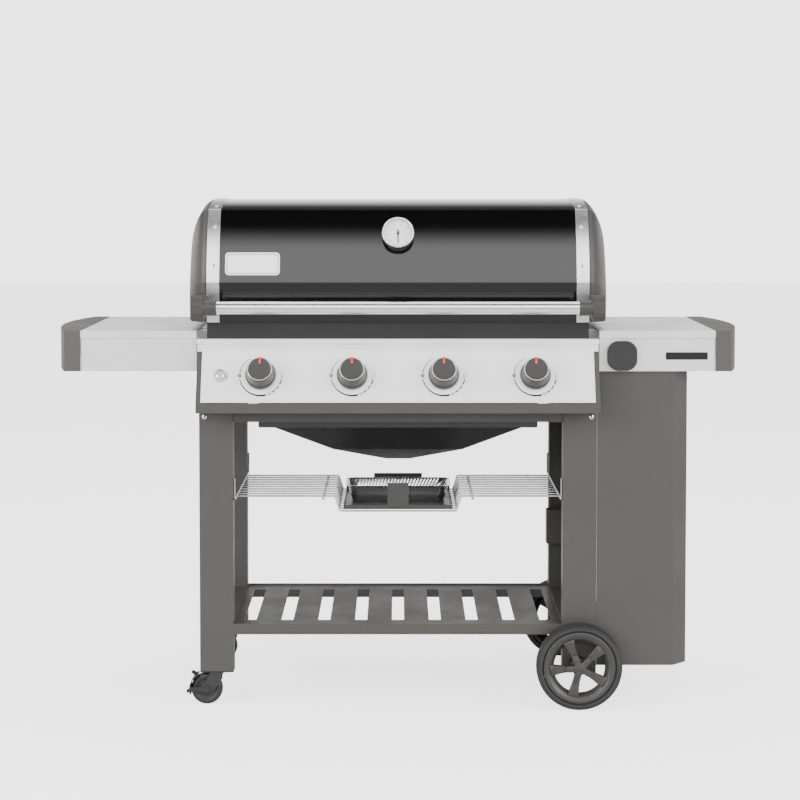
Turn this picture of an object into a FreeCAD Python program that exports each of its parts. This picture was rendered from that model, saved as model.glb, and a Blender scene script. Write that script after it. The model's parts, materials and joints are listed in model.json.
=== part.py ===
import FreeCAD, Part
import math
import os
import re
import Sketcher

# Four-burner gas barbecue grill on an open cart, in millimetres.
# +X is to the right of someone who stands at the grill, the front faces -Y, +Z is up,
# and the origin is on the ground under the middle of the whole grill.

SIZES = {
    # Cart frame
    "leg_inner": 392, "leg_outer": 472, "leg_depth": 44, "leg_wall": 2,
    "castor_head": 7.6, "leg_top": 798, "cart_front": -226, "cart_back": 262,
    "cap_plate": 3, "cap_plug": 11, "seat_gap": 0.3, "running_gap": 0.05,
    "rail_low": 678.7, "rail_high": 701.4, "rail_depth": 30, "side_rail_low": 740,
    "bolt_radius": 6.5, "bolt_height": 4, "bolt_x": 459, "bolt_z": 692,
    # Bottom shelf
    "shelf_low": 170.7, "shelf_high": 196.4, "shelf_top": 193, "shelf_sheet": 2,
    "slot_width": 29, "slot_pitch": 89, "slot_front": -166, "slot_back": 200, "shelf_lip": 55,
    # Cookbox
    "rim_half": 450, "rim_front": -246, "rim_back": 290, "rim_low": 872, "rim_high": 917.7, "rim_wall": 6,
    "ledge_high": 876, "tub_half": 388, "tub_front": -215, "tub_back": 214,
    "tub_foot_half": 325, "tub_foot_front": -170, "tub_foot_back": 185, "tub_low": 690, "tub_wall": 4,
    "burner_pitch": 214.5, "burner_radius": 9, "burner_z": 800, "burner_front": -215.7, "burner_back": 192,
    "bar_z": 832, "bar_rise": 22, "bar_half": 34, "bar_pitch": 102, "bar_sheet": 2,
    "grate_half": 425, "grate_high": 888, "grate_bar": 10, "grate_pitch": 25,
    "rack_half": 434, "rack_wire": 3, "rack_z": 1040, "rack_front": 120, "rack_back": 246,
    # Gas line
    "valve_front": -258, "valve_back": -216, "valve_half": 13, "valve_low": 758, "valve_high": 812,
    "pipe_radius": 8, "pipe_y": -236, "pipe_z": 758, "pipe_half": 338, "inlet_radius": 10, "inlet_length": 14,
    # Control panel
    "panel_lean": 25, "panel_top_y": -248, "panel_top_z": 853.4, "panel_length": 132, "panel_half": 461,
    "panel_sheet": 1.5, "frame_half": 472.5, "frame_low": 709, "frame_sheet": 3, "roll_high": 879,
    "roll_low": 865,
    "knob_drop": 65, "stem_radius": 4, "stem_in": 34, "stem_out": 30, "stem_hole": 8,
    "knob_low": 5, "knob_high": 48, "knob_skirt": 36, "knob_face": 29.5, "bezel_radius": 30, "bezel_high": 2,
    "button_x": -417, "button_radius": 11.8, "button_ring": 17, "button_ring_high": 6, "button_out": 8,
    # Side tables
    "table_top": 897, "table_lip": 879, "table_low": 801, "table_front": -238, "table_back": 259,
    "table_inner": 476, "table_outer": 750, "table_sheet": 2, "fascia_set_back": 4,
    "cap_straight": 38, "cap_long": 75.5, "cap_wall": 4, "bracket_low": 866, "bracket_width": 30,
    "bracket_front": -150, "bracket_back": 180,
    "module_left": 494, "module_size": 70, "module_top": 873, "module_round": 26, "module_deep": 14,
    "plate_left": 633, "plate_long": 99, "plate_low": 828.5, "plate_tall": 17.5, "plate_thick": 1.5,
    # Side panel beside the gas bottle place
    "side_bend": 655, "side_outer": 690, "side_bend_back": -190, "side_back": 240, "side_low": 97,
    "side_high": 800.5,
    "hanger_inner": 383, "hanger_outer": 440, "hanger_low": 316, "hanger_high": 403, "hanger_deep": 40,
    # Wheels and castors
    "wheel_x": 429, "wheel_radius": 101.6, "wheel_width": 50, "wheel_clear": 6, "tyre_inner": 86,
    "axle_radius": 6,
    "rim_inner": 75, "boss_radius": 20, "spoke_width": 27, "spoke_count": 5, "axle_in": 12,
    "castor_x": -432, "castor_trail": 25, "castor_radius": 37.5, "castor_width": 28, "fork_sheet": 3,
    "stem_pin": 5.5, "castor_pin": 4, "castor_gap": 1, "brake_gap": 1.5, "brake_sheet": 3,
    # Catch pan, wire rack and grease tray
    "wire_radius": 2.25, "wire_z": 491, "wire_dip": 455, "wire_front": -150, "wire_pitch": 37.8,
    "wire_count": 10,
    "basket_top": 152, "basket_foot": 141, "cross_x": 180, "cross_radius": 3.5,
    "pan_half": 125, "pan_front": -45, "pan_back": 90, "pan_high": 500.7, "pan_sheet": 1.2,
    "holder_half": 132, "holder_front": -143, "holder_back": 182, "holder_high": 468, "holder_sheet": 1.5,
    "tray_half": 331, "tray_front": -215, "tray_back": 180, "tray_low": 664.7, "tray_high": 678,
    "tray_sheet": 2,
    "funnel_top": 310, "funnel_mid": 158, "funnel_mid_z": 598, "funnel_foot": 30, "funnel_foot_z": 566,
    # Lid
    "lid_low": 918, "lid_front_low": -250, "lid_front_bend": -256, "bend_z": 1012, "shoulder_y": -195,
    "shoulder_z": 1182, "crest_y": 20, "crest_z": 1206, "lid_rear": 348.2, "lid_rear_z": 1000,
    "lid_rear_low": 340,
    "front_curve": 380, "top_curve": 1000, "lid_sheet": 3, "lid_half": 449.7, "trim_wide": 29.4,
    "trim_sheet": 1.8,
    "cheek_deep": 51, "cheek_flat": 0.44, "cheek_narrow": 0.42, "cheek_wall": 5,
    "hinge_y": 312, "hinge_z": 903, "hinge_pin": 5, "lug_inner": 378, "lug_thick": 14, "lug_radius": 12,
    "handle_y": -331.25, "handle_z": 957.3, "handle_radius": 15.25, "socket_wall": 3.5, "socket_in": 30.2,
    "socket_out": 0.8, "arm_out": 28.3, "arm_front": -350, "arm_low": 926, "arm_high": 992,
    "screw_inset": 16.7, "screw_radius": 4.5, "screw_height": 2.4,
    "badge_x": -342, "badge_long": 128, "badge_tall": 54, "badge_thick": 3, "badge_share": 0.24,
    "gauge_share": 0.6, "gauge_radius": 38.4, "gauge_neck": 16.5, "gauge_neck_long": 20, "gauge_deep": 16,
    "dial_radius": 33.2, "needle_pin": 1.5,
}

# Places and sizes that follow from the ones above
FOLLOWS = {
    "leg_bottom": "2 * castor_radius + castor_head",
    "brake_radius": "castor_radius + brake_gap",
    "cap_corner": "table_outer + cap_straight",
    "cap_bulge": "table_outer + cap_long",
    "cheek_inner": "lid_half + seat_gap",
    "trim_inner": "lid_half - trim_wide",
    "screw_x": "lid_half - screw_inset",
    "socket_inner": "lid_half - socket_in",
    "socket_outer": "lid_half + socket_out",
    "arm_outer": "lid_half + arm_out",
    "socket_radius": "handle_radius + socket_wall",
}

doc = FreeCAD.newDocument("gas_grill")
sheet = doc.addObject("Spreadsheet::Sheet", "dims")
for row, (alias, number) in enumerate(SIZES.items(), start=1):
    sheet.set(f"A{row}", str(number))
    sheet.setAlias(f"A{row}", alias)
doc.recompute()

NODES = []
X_AXIS = FreeCAD.Vector(1, 0, 0)
Y_AXIS = FreeCAD.Vector(0, 1, 0)
Z_AXIS = FreeCAD.Vector(0, 0, 1)
SIDES = {"left": -1, "right": 1}


def bound(text):
    """Give a formula with each size in it pointing at the sheet."""
    def spell(word):
        return f"({FOLLOWS[word[0]]})" if word[0] in FOLLOWS else word[0]

    def point(word):
        return ("dims." if word[0] in SIZES else "") + word[0]

    return re.sub(r"[a-z][a-z_]*", point, re.sub(r"[a-z][a-z_]*", spell, str(text)))


def value(text):
    """Give the number that a formula of sizes comes to."""
    return float(sheet.evalExpression(bound(text)))


def bind(thing, prop, text):
    """Tie a property to a formula of sizes."""
    thing.setExpression(prop, bound(text))


def put(thing, x, y, z):
    """Tie a piece's place to three formulas."""
    for axis, text in zip("xyz", (x, y, z)):
        bind(thing, "Placement.Base." + axis, text)
    return thing


def node(name, thing):
    """Record a finished sub-part under its own name."""
    thing.Label = name
    NODES.append(thing)
    return thing


def box(name, x, y, z):
    """A block between two planes on each axis."""
    solid = doc.addObject("Part::Box", name)
    for size, (low, high) in zip(("Length", "Width", "Height"), (x, y, z)):
        bind(solid, size, f"({high}) - ({low})")
    return put(solid, x[0], y[0], z[0])


def rod(name, axis, radius, span, centre):
    """A round bar along one axis; the centre is given on the other two axes in order."""
    solid = doc.addObject("Part::Cylinder", name)
    bind(solid, "Radius", radius)
    bind(solid, "Height", f"({span[1]}) - ({span[0]})")
    turns = {"x": (Y_AXIS, 90), "y": (X_AXIS, -90), "z": (Z_AXIS, 0)}
    solid.Placement.Rotation = FreeCAD.Rotation(*turns[axis])
    places = list(centre)
    places.insert("xyz".index(axis), span[0])
    return put(solid, *places)


def frustum(name, foot, top, z):
    """A tapered block: foot and top are each (x low, x high, y low, y high)."""
    solid = doc.addObject("Part::Wedge", name)
    solid.Placement.Rotation = FreeCAD.Rotation(X_AXIS, 90)
    # The wedge tapers along its own Y, which the turn makes the grill's Z.
    for prop, text in zip(
        ("Xmin", "Xmax", "Zmin", "Zmax", "X2min", "X2max", "Z2min", "Z2max", "Ymin", "Ymax"),
        (foot[0], foot[1], f"-({foot[3]})", f"-({foot[2]})", top[0], top[1], f"-({top[3]})",
         f"-({top[2]})", *z),
    ):
        bind(solid, prop, text)
    return solid


def fuse(name, *parts):
    """One solid from several that meet."""
    result = doc.addObject("Part::MultiFuse", name)
    result.Shapes = list(parts)
    return result


def cut(name, base, *tools):
    """A piece with others taken away from it."""
    result = doc.addObject("Part::Cut", name)
    result.Base = base
    result.Tool = tools[0] if len(tools) == 1 else fuse(name + "_tools", *tools)
    return result


def group(name, *parts):
    """Separate solids that share one node."""
    result = doc.addObject("Part::Compound", name)
    result.Links = list(parts)
    return result


def mirrored(name, source):
    """The same piece on the other side of the grill."""
    result = doc.addObject("Part::Mirroring", name)
    result.Source = source
    result.Normal = X_AXIS
    return result


def tube(name, x, y, z, along, wall="leg_wall"):
    """A square tube that is open at both ends of one axis."""
    spans = {"x": x, "y": y, "z": z}
    bore = {
        axis: (f"({low}) - 1", f"({high}) + 1") if axis == along else (f"({low}) + {wall}",
            f"({high}) - {wall}")
        for axis, (low, high) in spans.items()
    }
    return cut(name, box(name + "_outside", x, y, z), box(name + "_bore", bore["x"], bore["y"], bore["z"]))


def arc_centre(start, end, radius):
    """The centre of the arc between two points; a positive radius turns clockwise."""
    run = (end[0] - start[0], end[1] - start[1])
    chord = math.hypot(*run)
    rise = math.copysign(math.sqrt(radius * radius - chord * chord / 4), radius)
    return ((start[0] + end[0]) / 2 + run[1] / chord * rise, (start[1] + end[1]) / 2 - run[0] / chord * rise)


def arc_point(start, end, radius, share=0.5):
    """A point on such an arc, and the arc's outward direction there."""
    centre = arc_centre(start, end, radius)
    first = math.atan2(start[1] - centre[1], start[0] - centre[0])
    last = math.atan2(end[1] - centre[1], end[0] - centre[0])
    sweep = (last - first + math.pi) % (2 * math.pi) - math.pi
    angle = first + sweep * share
    away = (math.cos(angle), math.sin(angle))
    return (centre[0] + away[0] * abs(radius), centre[1] + away[1] * abs(radius)), away


def outline(body, plane, corners, name):
    """A closed sketch; a corner's third value is the radius of the arc that leaves it."""
    sketch = body.newObject("Sketcher::SketchObject", name)
    origin = next(item for item in body.Origin.OriginFeatures if item.Role == plane + "_Plane")
    sketch.AttachmentSupport = [(origin, "")]
    sketch.MapMode = "FlatFace"
    points = [(value(corner[0]), value(corner[1])) for corner in corners]
    ends = []
    for index, corner in enumerate(corners):
        start, end = points[index], points[(index + 1) % len(points)]
        first, last = FreeCAD.Vector(*start, 0), FreeCAD.Vector(*end, 0)
        if len(corner) == 2:
            sketch.addGeometry(Part.LineSegment(first, last), False)
            ends.append((1, 2))
            continue
        middle = FreeCAD.Vector(*arc_point(start, end, value(corner[2]))[0], 0)
        edge = sketch.addGeometry(Part.Arc(first, middle, last), False)
        near = sketch.getPoint(edge, 1).distanceToPoint(first) < 1e-3
        ends.append((1, 2) if near else (2, 1))
    for index, corner in enumerate(corners):
        after = (index + 1) % len(corners)
        sketch.addConstraint(Sketcher.Constraint("Coincident", index, ends[index][1], after, ends[after][0]))
        for kind, text, place in zip(("DistanceX", "DistanceY"), corner, points[index]):
            number = sketch.addConstraint(Sketcher.Constraint(kind, -1, 1, index, ends[index][0], place))
            bind(sketch, f"Constraints[{number}]", text)
        if len(corner) == 3:
            size = abs(value(corner[2]))
            number = sketch.addConstraint(Sketcher.Constraint("Radius", index, size))
            bind(sketch, f"Constraints[{number}]", f"abs({corner[2]})")
    return sketch


def pad(name, plane, corners, span):
    """An outline drawn on a plane and extended between two places on the plane's normal."""
    body = doc.addObject("PartDesign::Body", name)
    feature = body.newObject("PartDesign::Pad", name + "_pad")
    feature.Profile = outline(body, plane, corners, name + "_outline")
    feature.SideType = "Symmetric"
    bind(feature, "Length", f"({span[1]}) - ({span[0]})")
    normal = {"YZ": "x", "XZ": "y", "XY": "z"}[plane]
    bind(body, "Placement.Base." + normal, f"(({span[1]}) + ({span[0]})) / 2")
    body.Tip = feature
    return body


def lathe(name, axis, corners, at=("0", "0", "0")):
    """A turned piece; each corner is (place along the axis, radius)."""
    body = doc.addObject("PartDesign::Body", name)
    feature = body.newObject("PartDesign::Revolution", name + "_turned")
    plane, line, order = {"x": ("XZ", "H_Axis", 1), "y": ("YZ", "H_Axis", 1), "z": ("XZ", "V_Axis", -1)}[axis]
    sketch = outline(body, plane, [corner[::order] for corner in corners], name + "_outline")
    feature.Profile = sketch
    feature.ReferenceAxis = (sketch, [line])
    feature.Angle = 360
    body.Tip = feature
    return put(body, *at)


def rounded(x, z, radius):
    """The corners of a rectangle with round corners, for an outline."""
    (left, right), (low, high) = x, z
    return [
        (left, f"({low}) + {radius}"), (left, f"({high}) - {radius}", radius),
        (f"({left}) + {radius}", high), (f"({right}) - {radius}", high, radius),
        (right, f"({high}) - {radius}"), (right, f"({low}) + {radius}", radius),
        (f"({right}) - {radius}", low), (f"({left}) + {radius}", low, radius),
    ]


def shelled(body, sheet_size, outward, open_face):
    """Turn a body into a sheet; open_face says which faces are left out."""
    doc.recompute()
    faces = [
        f"Face{number}"
        for number, face in enumerate(body.Tip.Shape.Faces, start=1)
        if open_face(face.normalAt(0, 0))
    ]
    base = body.Tip
    feature = body.newObject("PartDesign::Thickness", body.Name + "_sheet")
    feature.Base = (base, faces)
    feature.Reversed = not outward
    bind(feature, "Value", sheet_size)
    body.Tip = feature
    return body


def cart():
    """Legs, end caps, rails, shelf and bolts."""
    rows = {"front": ("cart_front", "cart_front + leg_depth"), "rear": ("cart_back - leg_depth", "cart_back")}
    axle_hole = rod(
        "axle_hole", "y", "axle_radius + running_gap", ("cart_front - 10", "cart_back + 10"),
        ("wheel_x", "wheel_radius"),
    )
    caps = []
    for row_name, depth in rows.items():
        left = tube(row_name + "_left_leg", ("-leg_outer", "-leg_inner"), depth,
                    ("leg_bottom", "leg_top"), "z")
        right = tube(row_name + "_right_leg", ("leg_inner", "leg_outer"), depth,
                     ("leg_bottom", "leg_top"), "z")
        node(row_name + "_legs", group(row_name + "_legs", left,
                                       cut(row_name + "_drilled_leg", right, axle_hole)))
        middle = f"({depth[0]} + {depth[1]}) / 2"
        inside = "(leg_wall + seat_gap)"
        for sign, near, far in (("-", "-leg_outer", "-leg_inner"), ("", "leg_inner", "leg_outer")):
            plate = box("cap_plate", (near, far), depth, ("leg_bottom - cap_plate", "leg_bottom"))
            plug = box(
                "cap_plug", (f"{near} + {inside}", f"{far} - {inside}"),
                (f"{depth[0]} + {inside}", f"{depth[1]} - {inside}"),
                ("leg_bottom - 1", "leg_bottom + cap_plug"),
            )
            hole_x = "castor_x" if sign else "-castor_x"
            hole = rod(
                "cap_hole", "z", "stem_pin + running_gap", ("leg_bottom - 10", "leg_bottom + 20"),
                (hole_x, middle),
            )
            caps.append(cut("leg_cap", fuse("leg_cap_body", plate, plug), hole))
    node("leg_end_caps", group("leg_end_caps", *caps))

    across = ("-leg_inner + seat_gap", "leg_inner - seat_gap")
    between = ("cart_front + leg_depth + seat_gap", "cart_back - leg_depth - seat_gap")
    height = ("rail_low", "rail_high")
    rails = [
        tube("front_rail", across, ("cart_front + 4", "cart_front + 4 + rail_depth"), height, "x"),
        tube("rear_rail", across, ("cart_back - 4 - rail_depth", "cart_back - 4"), height, "x"),
    ]
    for span in (("-leg_outer + 10", "-leg_inner - 10"), ("leg_inner + 10", "leg_outer - 10")):
        rails.append(tube("upper_side_rail", span, between, ("side_rail_low", "leg_top"), "y"))
    for span in (("-leg_outer + 10", "-leg_inner"), ("leg_inner", "leg_outer - 10")):
        rails.append(tube("lower_side_rail", span, between, ("shelf_low", "shelf_high"), "y"))
    node("cart_rails", group("cart_rails", *rails))

    back_strip = "cart_back - shelf_lip"
    plate = box("shelf_plate", across, ("cart_front", "cart_back"), ("shelf_top - shelf_sheet", "shelf_top"))
    front = box("shelf_front", across, ("cart_front", "cart_front + shelf_sheet"),
                ("shelf_low", "shelf_high"))
    back = box("shelf_back", across, ("cart_back - shelf_sheet", "cart_back"), ("shelf_low", "shelf_high"))
    strip = box("shelf_strip", across, (back_strip, f"{back_strip} + shelf_sheet"),
                ("shelf_low", "shelf_top"))
    slots = []
    for step in range(-4, 5):
        middle = f"{step} * slot_pitch"
        slots.append(box(
            "shelf_slot", (f"{middle} - slot_width / 2", f"{middle} + slot_width / 2"),
            ("slot_front", "slot_back"), ("shelf_top - 10", "shelf_top + 10"),
        ))
    node("bottom_shelf", cut("bottom_shelf", fuse("shelf_sheet_metal", plate, front, back, strip), *slots))

    bolts = []
    for sign in SIDES.values():
        head = (("-bolt_height", "0"), ("-bolt_height", "bolt_radius * 0.45", "bolt_radius * 1.1"),
                ("0", "bolt_radius"), ("0", "0"))
        bolts.append(lathe("leg_bolt", "y", head, (f"{sign} * bolt_x", "cart_front", "bolt_z")))
        for middle in ("cart_front + leg_depth / 2", "cart_back - leg_depth / 2"):
            side = [(f"{-sign} * ({corner[0]})", *corner[1:2], *(f"{-sign} * ({arc})" for arc in corner[2:]))
                    for corner in head]
            bolts.append(lathe("side_bolt", "x", side, (f"{sign} * leg_outer", middle, "bolt_z + 40")))
    node("cart_bolts", group("cart_bolts", *bolts))


def cookbox():
    """The cast firebox with its rim, runners and hinge lugs, and what lies inside it."""
    height = ("rim_low", "rim_high")
    rim = box("rim_outside", ("-rim_half", "rim_half"), ("rim_front", "rim_back"), height)
    rim_bore = box(
        "rim_bore", ("-rim_half + rim_wall", "rim_half - rim_wall"),
        ("rim_front + rim_wall", "rim_back - rim_wall"), ("ledge_high", "rim_high + 10"),
    )
    foot = ("-tub_foot_half", "tub_foot_half", "tub_foot_front", "tub_foot_back")
    top = ("-tub_half", "tub_half", "tub_front", "tub_back")
    outside = frustum("tub_outside", foot, top, ("tub_low", "rim_low + 1"))

    def inset(edges):
        return [f"({edge}) {'+' if index % 2 == 0 else '-'} tub_wall" for index, edge in enumerate(edges)]

    hollow = frustum("tub_hollow", inset(foot), inset(top), ("tub_low - 0.5", "ledge_high + 0.5"))
    shelves = [
        box("front_bar_ledge", ("-350", "350"), ("tub_front", "tub_front + 34"),
            ("bar_z - 6", "bar_z - seat_gap")),
        box("rear_bar_ledge", ("-350", "350"), ("tub_back - 34", "tub_back"),
            ("bar_z - 6", "bar_z - seat_gap")),
        box("burner_ledge", ("-340", "340"), ("burner_back - 16", "tub_back"),
            ("burner_z - burner_radius - 6", "burner_z - burner_radius - seat_gap")),
    ]
    ledges = doc.addObject("Part::Common", "inner_ledges")
    ledges.Base, ledges.Tool = fuse("ledge_bars", *shelves), outside
    holes = []
    for index in range(4):
        holes.append(rod(
            "burner_hole", "y", "burner_radius + seat_gap", ("tub_front - 10", "tub_foot_front + 30"),
            (f"({index} - 1.5) * burner_pitch", "burner_z"),
        ))
    runners = []
    for sign in SIDES.values():
        web = ("tray_half + 0.8", "tray_half + 4")
        step = ("tray_half - 11", "tray_half + 4")
        depth = ("tub_foot_front", "tub_foot_back")
        flange = ("tub_foot_half - tub_wall + 1", "tray_half + 4")
        flip = [(f"{sign} * ({pair[::sign][0]})", f"{sign} * ({pair[::sign][1]})") for pair in (web,
            step, flange)]
        runners.append(box("tray_runner", flip[0], depth, ("tray_low - 2", "tub_low + 4")))
        runners.append(box("tray_step", flip[1], depth, ("tray_low - 2", "tray_low + 1")))
        runners.append(box("tray_flange", flip[2], depth, ("tub_low", "tub_low + 4")))
    lugs = []
    for sign in SIDES.values():
        near, far = "lug_inner + lug_thick + seat_gap", "lug_inner + 2 * lug_thick"
        span = [f"{sign} * ({edge})" for edge in (near, far)][::sign]
        lugs.append(box("box_lug", span, ("rim_back - 3", "hinge_y"),
                        ("hinge_z - lug_radius", "hinge_z + lug_radius")))
        lugs.append(rod("box_lug_end", "x", "lug_radius", span, ("hinge_y", "hinge_z")))
    hinge_hole = rod(
        "box_hinge_hole", "x", "hinge_pin + running_gap", ("-rim_half", "rim_half"), ("hinge_y", "hinge_z"),
    )
    walls = cut("tub_walls", fuse("box_mass", cut("rim", rim, rim_bore), outside), hollow, *holes)
    node("cookbox", cut("cookbox", fuse("cookbox_whole", walls, ledges, *runners, *lugs), hinge_hole))

    burners = []
    for index in range(4):
        place = (f"({index} - 1.5) * burner_pitch", "burner_z")
        pipe = rod("burner_pipe", "y", "burner_radius", ("burner_front", "burner_back"), place)
        bore = rod("burner_bore", "y", "burner_radius - 1.5", ("burner_front - 1", "burner_back - 2"), place)
        burners.append(cut("burner_tube", pipe, bore))
    node("burner_tubes", group("burner_tubes", *burners))

    bars = []
    for index in range(7):
        middle = f"({index} - 3) * bar_pitch"
        top = "bar_z + bar_rise"
        corners = [
            (f"{middle} - bar_half", "bar_z"), (middle, top), (f"{middle} + bar_half", "bar_z"),
            (f"{middle} + bar_half - 1.7 * bar_sheet", "bar_z"), (middle, f"{top} - 1.2 * bar_sheet"),
            (f"{middle} - bar_half + 1.7 * bar_sheet", "bar_z"),
        ]
        bars.append(pad("heat_bar", "XZ", corners, ("tub_front + 20", "tub_back - 20")))
    node("heat_bars", group("heat_bars", *bars))

    level = ("ledge_high + seat_gap", "grate_high")
    depth = ("rim_front + rim_wall + 4", "rim_back - rim_wall - 4")
    bar_count = int((value("grate_half") - value("grate_bar")) // value("grate_pitch")) + 1
    pieces = [
        box("grate_front", ("2", "grate_half"), (depth[0], f"{depth[0]} + grate_bar"), level),
        box("grate_rear", ("2", "grate_half"), (f"{depth[1]} - grate_bar", depth[1]), level),
        box("grate_middle", ("2", "grate_half"), ("15", "15 + grate_bar"), (level[0], f"{level[1]} - 3")),
    ]
    for index in range(bar_count):
        near = f"2 + {index} * grate_pitch"
        pieces.append(box("grate_bar", (near, f"{near} + grate_bar"), depth, level))
    pieces.append(box("grate_end", ("grate_half - grate_bar", "grate_half"), depth, level))
    right = node("right_grate", fuse("right_grate", *pieces))
    node("left_grate", mirrored("left_grate", right))

    wires = []
    for sign in SIDES.values():
        side = f"{sign} * rack_half"
        wires.append(rod("rack_side", "y", "rack_wire", ("rack_front", "rack_back"), (side, "rack_z")))
        for depth in ("rack_front", "rack_back"):
            wires.append(rod("rack_leg", "z", "rack_wire", ("ledge_high + seat_gap", "rack_z"),
                             (side, depth)))
            wires.append(put(ball("rack_corner", "rack_wire"), side, depth, "rack_z"))
    for index in range(7):
        depth = f"rack_front + {index} * (rack_back - rack_front) / 6"
        wires.append(rod("rack_wire", "x", "rack_wire", ("-rack_half", "rack_half"), (depth, "rack_z")))
    node("warming_rack", fuse("warming_rack", *wires))


def ball(name, radius):
    """A sphere."""
    solid = doc.addObject("Part::Sphere", name)
    bind(solid, "Radius", radius)
    return solid


def lean(thing, x, drop, out="0"):
    """Lay a piece on the leaning control panel, a way down from its top edge and out from its face."""
    thing.Placement.Rotation = FreeCAD.Rotation(X_AXIS, -value("panel_lean"))
    bind(thing, "Placement.Rotation.Angle", "-panel_lean")
    return put(
        thing, x,
        f"panel_top_y - ({drop}) * sin(panel_lean) - ({out}) * cos(panel_lean)",
        f"panel_top_z - ({drop}) * cos(panel_lean) + ({out}) * sin(panel_lean)",
    )


def disc(name, radius, low, high):
    """A round piece whose axis is the control panel's normal; its faces are measured out from the panel."""
    return lathe(name, "y", [(f"-({high})", "0"), (f"-({high})", radius), (f"-({low})", radius),
                             (f"-({low})", "0")])


def control_panel():
    """The leaning face, its surround, the gas line, the four knobs and the igniter."""
    places = [f"({index} - 1.5) * burner_pitch" for index in range(4)]
    names = ["far_left", "middle_left", "middle_right", "far_right"]

    face = doc.addObject("Part::Box", "panel_face")
    bind(face, "Length", "2 * panel_half")
    bind(face, "Width", "panel_sheet")
    bind(face, "Height", "panel_length")
    lean(face, "-panel_half", "panel_length")
    roll = pad("panel_roll", "YZ", [
        ("rim_front - seat_gap", "roll_low - 16"), ("rim_front - seat_gap", "roll_high"),
        ("rim_front - 3", "roll_high", "-3.5"), ("rim_front - 6", "roll_high - 3.5"),
        ("rim_front - 6", "roll_low + 3"),
        ("rim_front - 3", "roll_low"), ("rim_front - 1.8", "roll_low"), ("rim_front - 1.8", "roll_low - 16"),
    ], ("-frame_half", "frame_half"))
    holes = [lean(disc("stem_hole", "stem_hole", "-20", "20"), x, "knob_drop") for x in places]
    holes.append(lean(disc("button_hole", "button_radius + seat_gap", "-20", "20"), "button_x", "knob_drop"))
    node("control_panel", cut("control_panel", fuse("panel_sheet_metal", face, roll), *holes))

    foot_y = "panel_top_y - panel_length * sin(panel_lean)"
    foot_z = "panel_top_z - panel_length * cos(panel_lean)"
    end = [
        ("cart_front - 1", "frame_low"), ("cart_front - 1", "roll_low - 17"),
        ("rim_front - 2.2", "roll_low - 17"),
        ("panel_top_y", "roll_low - 17"), (foot_y, foot_z), (f"{foot_y} - 2", f"{foot_z} - 4"),
        (f"{foot_y} - 2", "frame_low"),
    ]
    pieces = []
    for sign in SIDES.values():
        span = [f"{sign} * ({edge})" for edge in ("panel_half + seat_gap", "frame_half")][::sign]
        pieces.append(pad("frame_end", "YZ", end, span))
    across = ("-frame_half", "frame_half")
    pieces.append(box("frame_band", across, (f"{foot_y} - 2", f"{foot_y} - 2 + frame_sheet"),
                      ("frame_low", f"{foot_z} - 1.5")))
    pieces.append(box("frame_floor", across, (f"{foot_y} - 2", "cart_front - 1"),
                      ("frame_low", "frame_low + frame_sheet")))
    node("panel_surround", fuse("panel_surround", *pieces))

    valves = [rod("gas_pipe", "x", "pipe_radius", ("-pipe_half", "pipe_half"), ("pipe_y", "pipe_z")),
              rod("gas_inlet", "x", "inlet_radius", ("pipe_half - 2", "pipe_half + inlet_length"),
                  ("pipe_y", "pipe_z"))]
    for x in places:
        valves.append(box("gas_valve", (f"{x} - valve_half", f"{x} + valve_half"),
                          ("valve_front", "valve_back"),
                          ("valve_low", "valve_high")))
    bores = [lean(disc("valve_bore", "stem_radius + running_gap", "-stem_in - 1", "30"), x,
                  "knob_drop") for x in places]
    bores.append(rod("inlet_bore", "x", "inlet_radius - 4", ("pipe_half", "pipe_half + inlet_length + 2"),
                     ("pipe_y", "pipe_z")))
    node("gas_manifold", cut("gas_manifold", fuse("gas_line", *valves), *bores))

    bezels = []
    for x in places:
        ring = [("-bezel_high", "stem_hole"), ("-bezel_high", "bezel_radius"), ("0", "bezel_radius"),
                ("0", "stem_hole")]
        bezels.append(lean(lathe("knob_bezel", "y", ring), x, "knob_drop"))
    collar = [
        ("-button_ring_high", "button_radius + seat_gap"), ("-button_ring_high", "button_radius + 2"),
        ("-2", "button_ring"), ("0", "button_ring"), ("0", "button_radius + seat_gap"),
    ]
    bezels.append(lean(lathe("button_bezel", "y", collar), "button_x", "knob_drop"))
    node("control_bezels", group("control_bezels", *bezels))

    bore = "stem_radius + running_gap"
    grip = [
        ("-knob_low", bore), ("-knob_low", "knob_skirt"), ("-knob_low - 6", "knob_skirt"),
        ("-knob_high + 8", "knob_face + 1.5"), ("-knob_high + 2", "knob_face"),
        ("-knob_high", "knob_face - 2"),
        ("-knob_high", "knob_face - 3.5"), ("-knob_high + 1", "knob_face - 4"), ("-knob_high + 1", "0"),
        ("-stem_out - 5", "0"), ("-stem_out - 5", bore),
    ]
    for name, x in zip(names, places):
        node(name + "_stem", lean(disc(name + "_stem", "stem_radius", "-stem_in", "stem_out"), x,
                                  "knob_drop"))
        node(name + "_knob", lean(lathe(name + "_knob", "y", grip), x, "knob_drop"))

    press = [
        ("-button_out", "0"), ("-button_out", "button_radius - 5", "9"), ("-button_out + 4", "button_radius"),
        ("8", "button_radius"), ("8", "0"),
    ]
    node("igniter_button", lean(lathe("igniter_button", "y", press), "button_x", "knob_drop"))


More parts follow.
